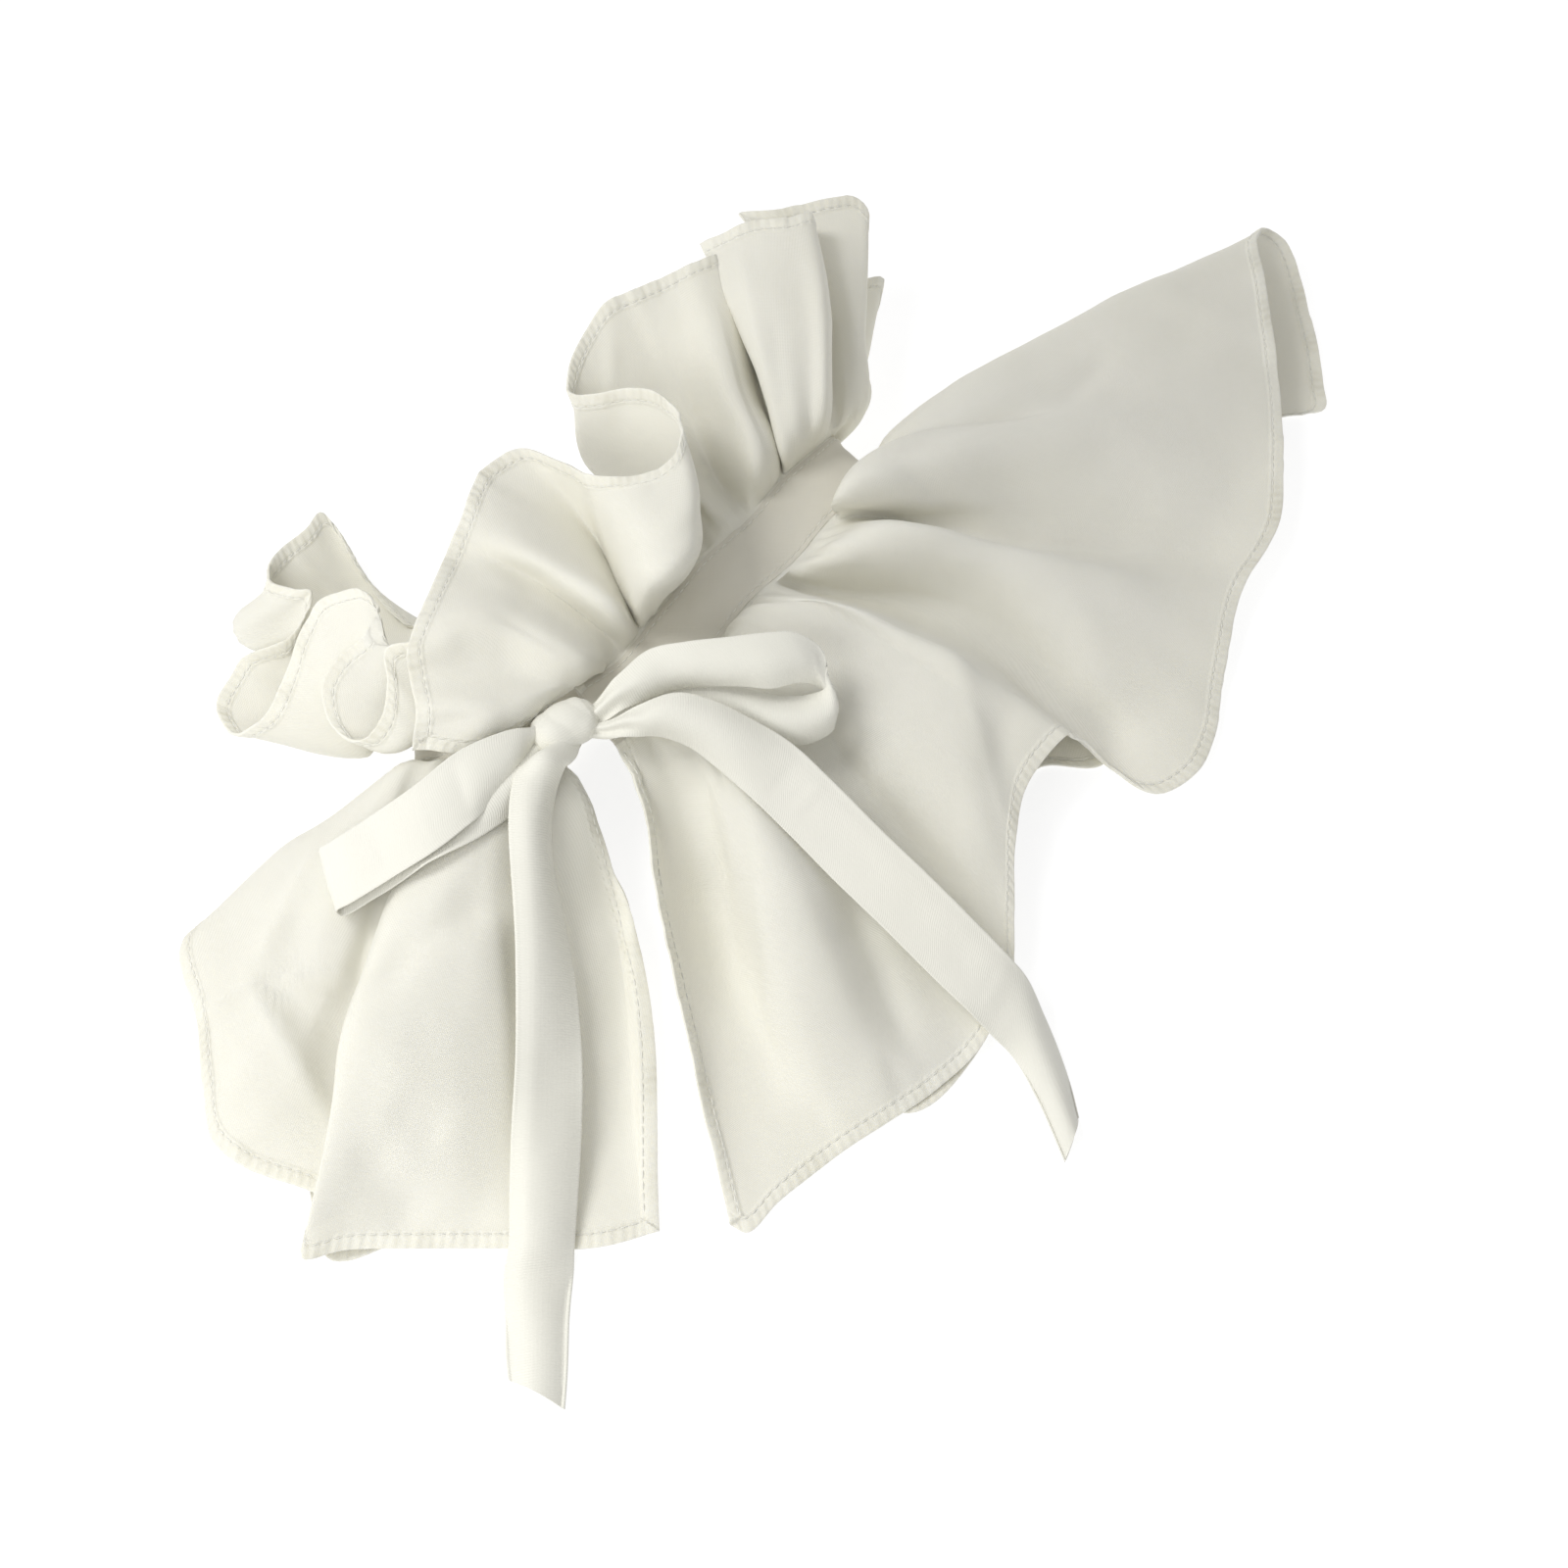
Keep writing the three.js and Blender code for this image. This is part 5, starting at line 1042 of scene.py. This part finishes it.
def cloth_material(name, light, shade, pitch, rough, sheen, ribbed=False, hemmed=False):
    mat, nt, bsdf = nodes_of(name)
    uv = nt.nodes.new("ShaderNodeUVMap")
    uv.uv_map = "cloth"
    sep = nt.nodes.new("ShaderNodeSeparateXYZ")
    link(nt, uv.outputs[0], sep.inputs[0])
    u, v = sep.outputs[0], sep.outputs[1]
    # slubs: threads of uneven thickness
    slub = nt.nodes.new("ShaderNodeTexNoise")
    slub.inputs["Scale"].default_value = 0.9
    slub.inputs["Detail"].default_value = 3
    stretch = nt.nodes.new("ShaderNodeMapping")
    stretch.inputs["Scale"].default_value = (0.12, 2.2, 1)
    link(nt, uv.outputs[0], stretch.inputs[0])
    link(nt, stretch.outputs[0], slub.inputs["Vector"])
    k = 2 * math.pi / pitch
    su = value(nt, "SINE", value(nt, "MULTIPLY", u, k))
    if ribbed:
        sv = value(nt, "SINE", value(nt, "MULTIPLY", v, k * 0.55))
        weave = value(nt, "ADD", value(nt, "MULTIPLY", su, 0.85), value(nt, "MULTIPLY", sv, 0.15))
    else:
        sv = value(nt, "SINE", value(nt, "MULTIPLY", v, k))
        weave = value(nt, "MULTIPLY", su, sv)
    height = value(nt, "ADD", value(nt, "MULTIPLY", weave, 0.5), value(nt, "MULTIPLY", slub.outputs[0], 0.55))
    # colour: ivory with faint warmer and greyer areas, darker between the threads
    tint = nt.nodes.new("ShaderNodeTexNoise")
    tint.inputs["Scale"].default_value = 0.02
    tint.inputs["Detail"].default_value = 4
    link(nt, uv.outputs[0], tint.inputs["Vector"])
    thread = value(nt, "MULTIPLY_ADD", weave, 0.18, 0.5)
    mixed = value(nt, "ADD", value(nt, "MULTIPLY", tint.outputs[0], 0.75), value(nt, "MULTIPLY", thread, 0.25))
    ramp = nt.nodes.new("ShaderNodeValToRGB")
    ramp.color_ramp.elements[0].position, ramp.color_ramp.elements[1].position = 0.3, 0.65
    ramp.color_ramp.elements[0].color = (*shade, 1)
    ramp.color_ramp.elements[1].color = (*light, 1)
    link(nt, mixed, ramp.inputs[0])
    colour = ramp.outputs[0]
    if hemmed:
        height, colour = hem_look(nt, height, colour)
    link(nt, colour, bsdf.inputs["Base Color"])
    bump = nt.nodes.new("ShaderNodeBump")
    bump.inputs["Strength"].default_value = 0.55 if not ribbed else 0.7
    bump.inputs["Distance"].default_value = 0.00009
    link(nt, height, bump.inputs["Height"])
    link(nt, bump.outputs[0], bsdf.inputs["Normal"])
    rr = nt.nodes.new("ShaderNodeMapRange")
    rr.inputs["To Min"].default_value, rr.inputs["To Max"].default_value = rough - 0.06, rough + 0.06
    link(nt, slub.outputs[0], rr.inputs["Value"])
    link(nt, rr.outputs[0], bsdf.inputs["Roughness"])
    bsdf.inputs["Sheen Weight"].default_value = sheen
    bsdf.inputs["Sheen Roughness"].default_value = 0.45
    bsdf.inputs["Specular IOR Level"].default_value = 0.3
    # thin cloth lets some light through
    bsdf.inputs["Subsurface Weight"].default_value = 0.0 if ribbed else 0.25
    bsdf.inputs["Subsurface Radius"].default_value = (1.0, 0.95, 0.8)
    bsdf.inputs["Subsurface Scale"].default_value = 0.0015
    return mat


RUFFLE_CLOTH = cloth_material("ruffle_voile", (0.80, 0.785, 0.705), (0.755, 0.74, 0.655), 0.62, 0.86, 0.12, hemmed=True)
# The band's colours are darker than the ruffle cloth's. This is painted shade, for the band lying in shadow between the
# two ruffles.
SHADED_BAND_CLOTH = cloth_material("band_poplin_painted_shade", (0.70, 0.678, 0.60), (0.65, 0.625, 0.545), 0.62, 0.88, 0.1)
RIBBON_CLOTH = cloth_material("ribbon_grosgrain", (0.80, 0.79, 0.72), (0.765, 0.755, 0.68), 0.72, 0.55, 0.2, ribbed=True)
THREAD = cloth_material("sewing_thread", (0.87, 0.86, 0.79), (0.8, 0.79, 0.71), 0.3, 0.6, 0.1)


def dress(ob, mat, slot, node=None):
    ob.data.materials.clear()
    ob.data.materials.append(mat)
    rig.ride(ob, "root")
    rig.slot(ob, slot)
    if node:
        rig.replaces(ob, node)
    return ob


# ------------------------------------------------------------------ build

band, band_lines = build_band()
dress(band, SHADED_BAND_CLOTH, "band_cloth", "neck_band")
band_stitches = dress(stitch_object("band_topstitch", band_lines), THREAD, "band_cloth")
lower, lower_lines = build_ruffle("lower_ruffle_cloth", LOWER_FOLDS, -1, 48, 2.4, 101, LOWER_CREASES, LOWER_WEDGES)
dress(lower, RUFFLE_CLOTH, "ruffle_cloth", "lower_ruffle")
lower_stitches = dress(stitch_object("lower_hem_stitches", lower_lines), THREAD, "ruffle_cloth")
upper, upper_lines = build_ruffle("upper_ruffle_cloth", UPPER_FOLDS, 1, 32, 2.0, 201, UPPER_CREASES, UPPER_WEDGES)
dress(upper, RUFFLE_CLOTH, "ruffle_cloth", "upper_ruffle")
upper_stitches = dress(stitch_object("upper_hem_stitches", upper_lines), THREAD, "ruffle_cloth")
knot = dress(build_knot(), RIBBON_CLOTH, "ribbon", "bow_knot")
ribbons = {}
for name, rows, node, seed, ridge in (
    ("left_loop_ribbon", LEFT_LOOP, "bow_loop_left", 301, (0, 0)),
    ("right_loop_ribbon", RIGHT_LOOP, "bow_loop_right", 311, (0, 0)),
    ("right_tail_ribbon", RIGHT_TAIL, "ribbon_tail_right", 321, (-0.3, 0.8)),
    ("down_tail_ribbon", DOWN_TAIL, "ribbon_tail_down", 331, (-0.26, 2.4)),
):
    ob, length = build_ribbon(name, rows, seed, "loop" in name, ridge)
    ribbons[name] = (dress(ob, RIBBON_CLOTH, "ribbon", node), length)

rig.sheet(band, flat=(0.021, 0.353), held="folded", rests_on=[lower, upper], with_pieces=[band_stitches])
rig.sheet(lower, flat=(0.14, 1.5), area=0.12, held="gathered", rests_on=[band], with_pieces=[lower_stitches])
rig.sheet(upper, flat=(0.07, 1.03), area=0.045, held="gathered", rests_on=[band], with_pieces=[upper_stitches])
for name, (ob, length) in ribbons.items():
    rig.sheet(ob, flat=(RIBBON_WIDTH * MM, round(length * MM, 3)), held="draped", rests_on=[knot, lower])
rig.padded(knot, fill=0.9)


# ------------------------------------------------------------------ stage
def plane(name, size, z):
    me = bpy.data.meshes.new(name)
    me.from_pydata([(-size, -size, z), (size, -size, z), (size, size, z), (-size, size, z)], [], [(0, 1, 2, 3)])
    ob = bpy.data.objects.new(name, me)
    bpy.context.scene.collection.objects.link(ob)
    return ob


floor = plane("pale_floor", 6.0, -0.0001)
fmat, fnt, fb = nodes_of("pale_floor_paint")
fn = fnt.nodes.new("ShaderNodeTexNoise")
fn.inputs["Scale"].default_value = 3.0
fr = fnt.nodes.new("ShaderNodeValToRGB")
fr.color_ramp.elements[0].color = (0.30, 0.30, 0.30, 1)
fr.color_ramp.elements[1].color = (0.32, 0.32, 0.32, 1)
fnt.links.new(fn.outputs[0], fr.inputs[0])
fnt.links.new(fr.outputs[0], fb.inputs["Base Color"])
fb.inputs["Roughness"].default_value = 0.9
fb.inputs["Emission Color"].default_value = (1, 1, 1, 1)
fb.inputs["Emission Strength"].default_value = 0.8
floor.data.materials.append(fmat)
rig.stage(floor)

world = bpy.data.worlds.new("studio")
bpy.context.scene.world = world
world.use_nodes = True
world.node_tree.nodes["Background"].inputs[0].default_value = (1.0, 1.0, 1.0, 1)
world.node_tree.nodes["Background"].inputs[1].default_value = 0.55


def area_light(name, where, target, size, power, colour=(1, 1, 1)):
    data = bpy.data.lights.new(name, "AREA")
    data.shape, data.size, data.energy, data.color = "DISK", size, power, colour
    ob = bpy.data.objects.new(name, data)
    bpy.context.scene.collection.objects.link(ob)
    ob.location = where
    ob.rotation_euler = (Vector(target) - Vector(where)).to_track_quat("-Z", "Y").to_euler()
    return ob


def lamp(name, away, azimuth, height, size, power, colour):
    a, h = math.radians(azimuth), math.radians(height)
    aim = Vector((-0.08, 0.0, 0.02))
    area_light(name, aim + Vector((math.cos(h) * math.cos(a), math.cos(h) * math.sin(a), math.sin(h))) * away, aim, size, power, colour)


lamp("key", 0.9, 118, 56, 0.4, 3.3, (1.0, 0.995, 0.98))
lamp("side", 0.5, 184, 36, 0.35, 0.85, (1.0, 0.995, 0.98))

cam_data = bpy.data.cameras.new("photo_camera")
cam_data.lens, cam_data.sensor_width, cam_data.sensor_height, cam_data.sensor_fit = 50, 36, 36, "HORIZONTAL"
cam = bpy.data.objects.new("photo_camera", cam_data)
bpy.context.scene.collection.objects.link(cam)
cam.location = Vector((-279.80, -227.98, 558.0)) * MM
cam.rotation_euler = (Vector((-49.26, -26.16, 27.3)) * MM - cam.location).to_track_quat("-Z", "Y").to_euler()
bpy.context.scene.camera = cam
bpy.context.scene.view_settings.view_transform = "Standard"
bpy.context.scene.view_settings.look = "None"

visual_box = [list(c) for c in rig.bounds()]
json.dump({"cad": cad_box, "visual": visual_box}, open("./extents.json", "w"))
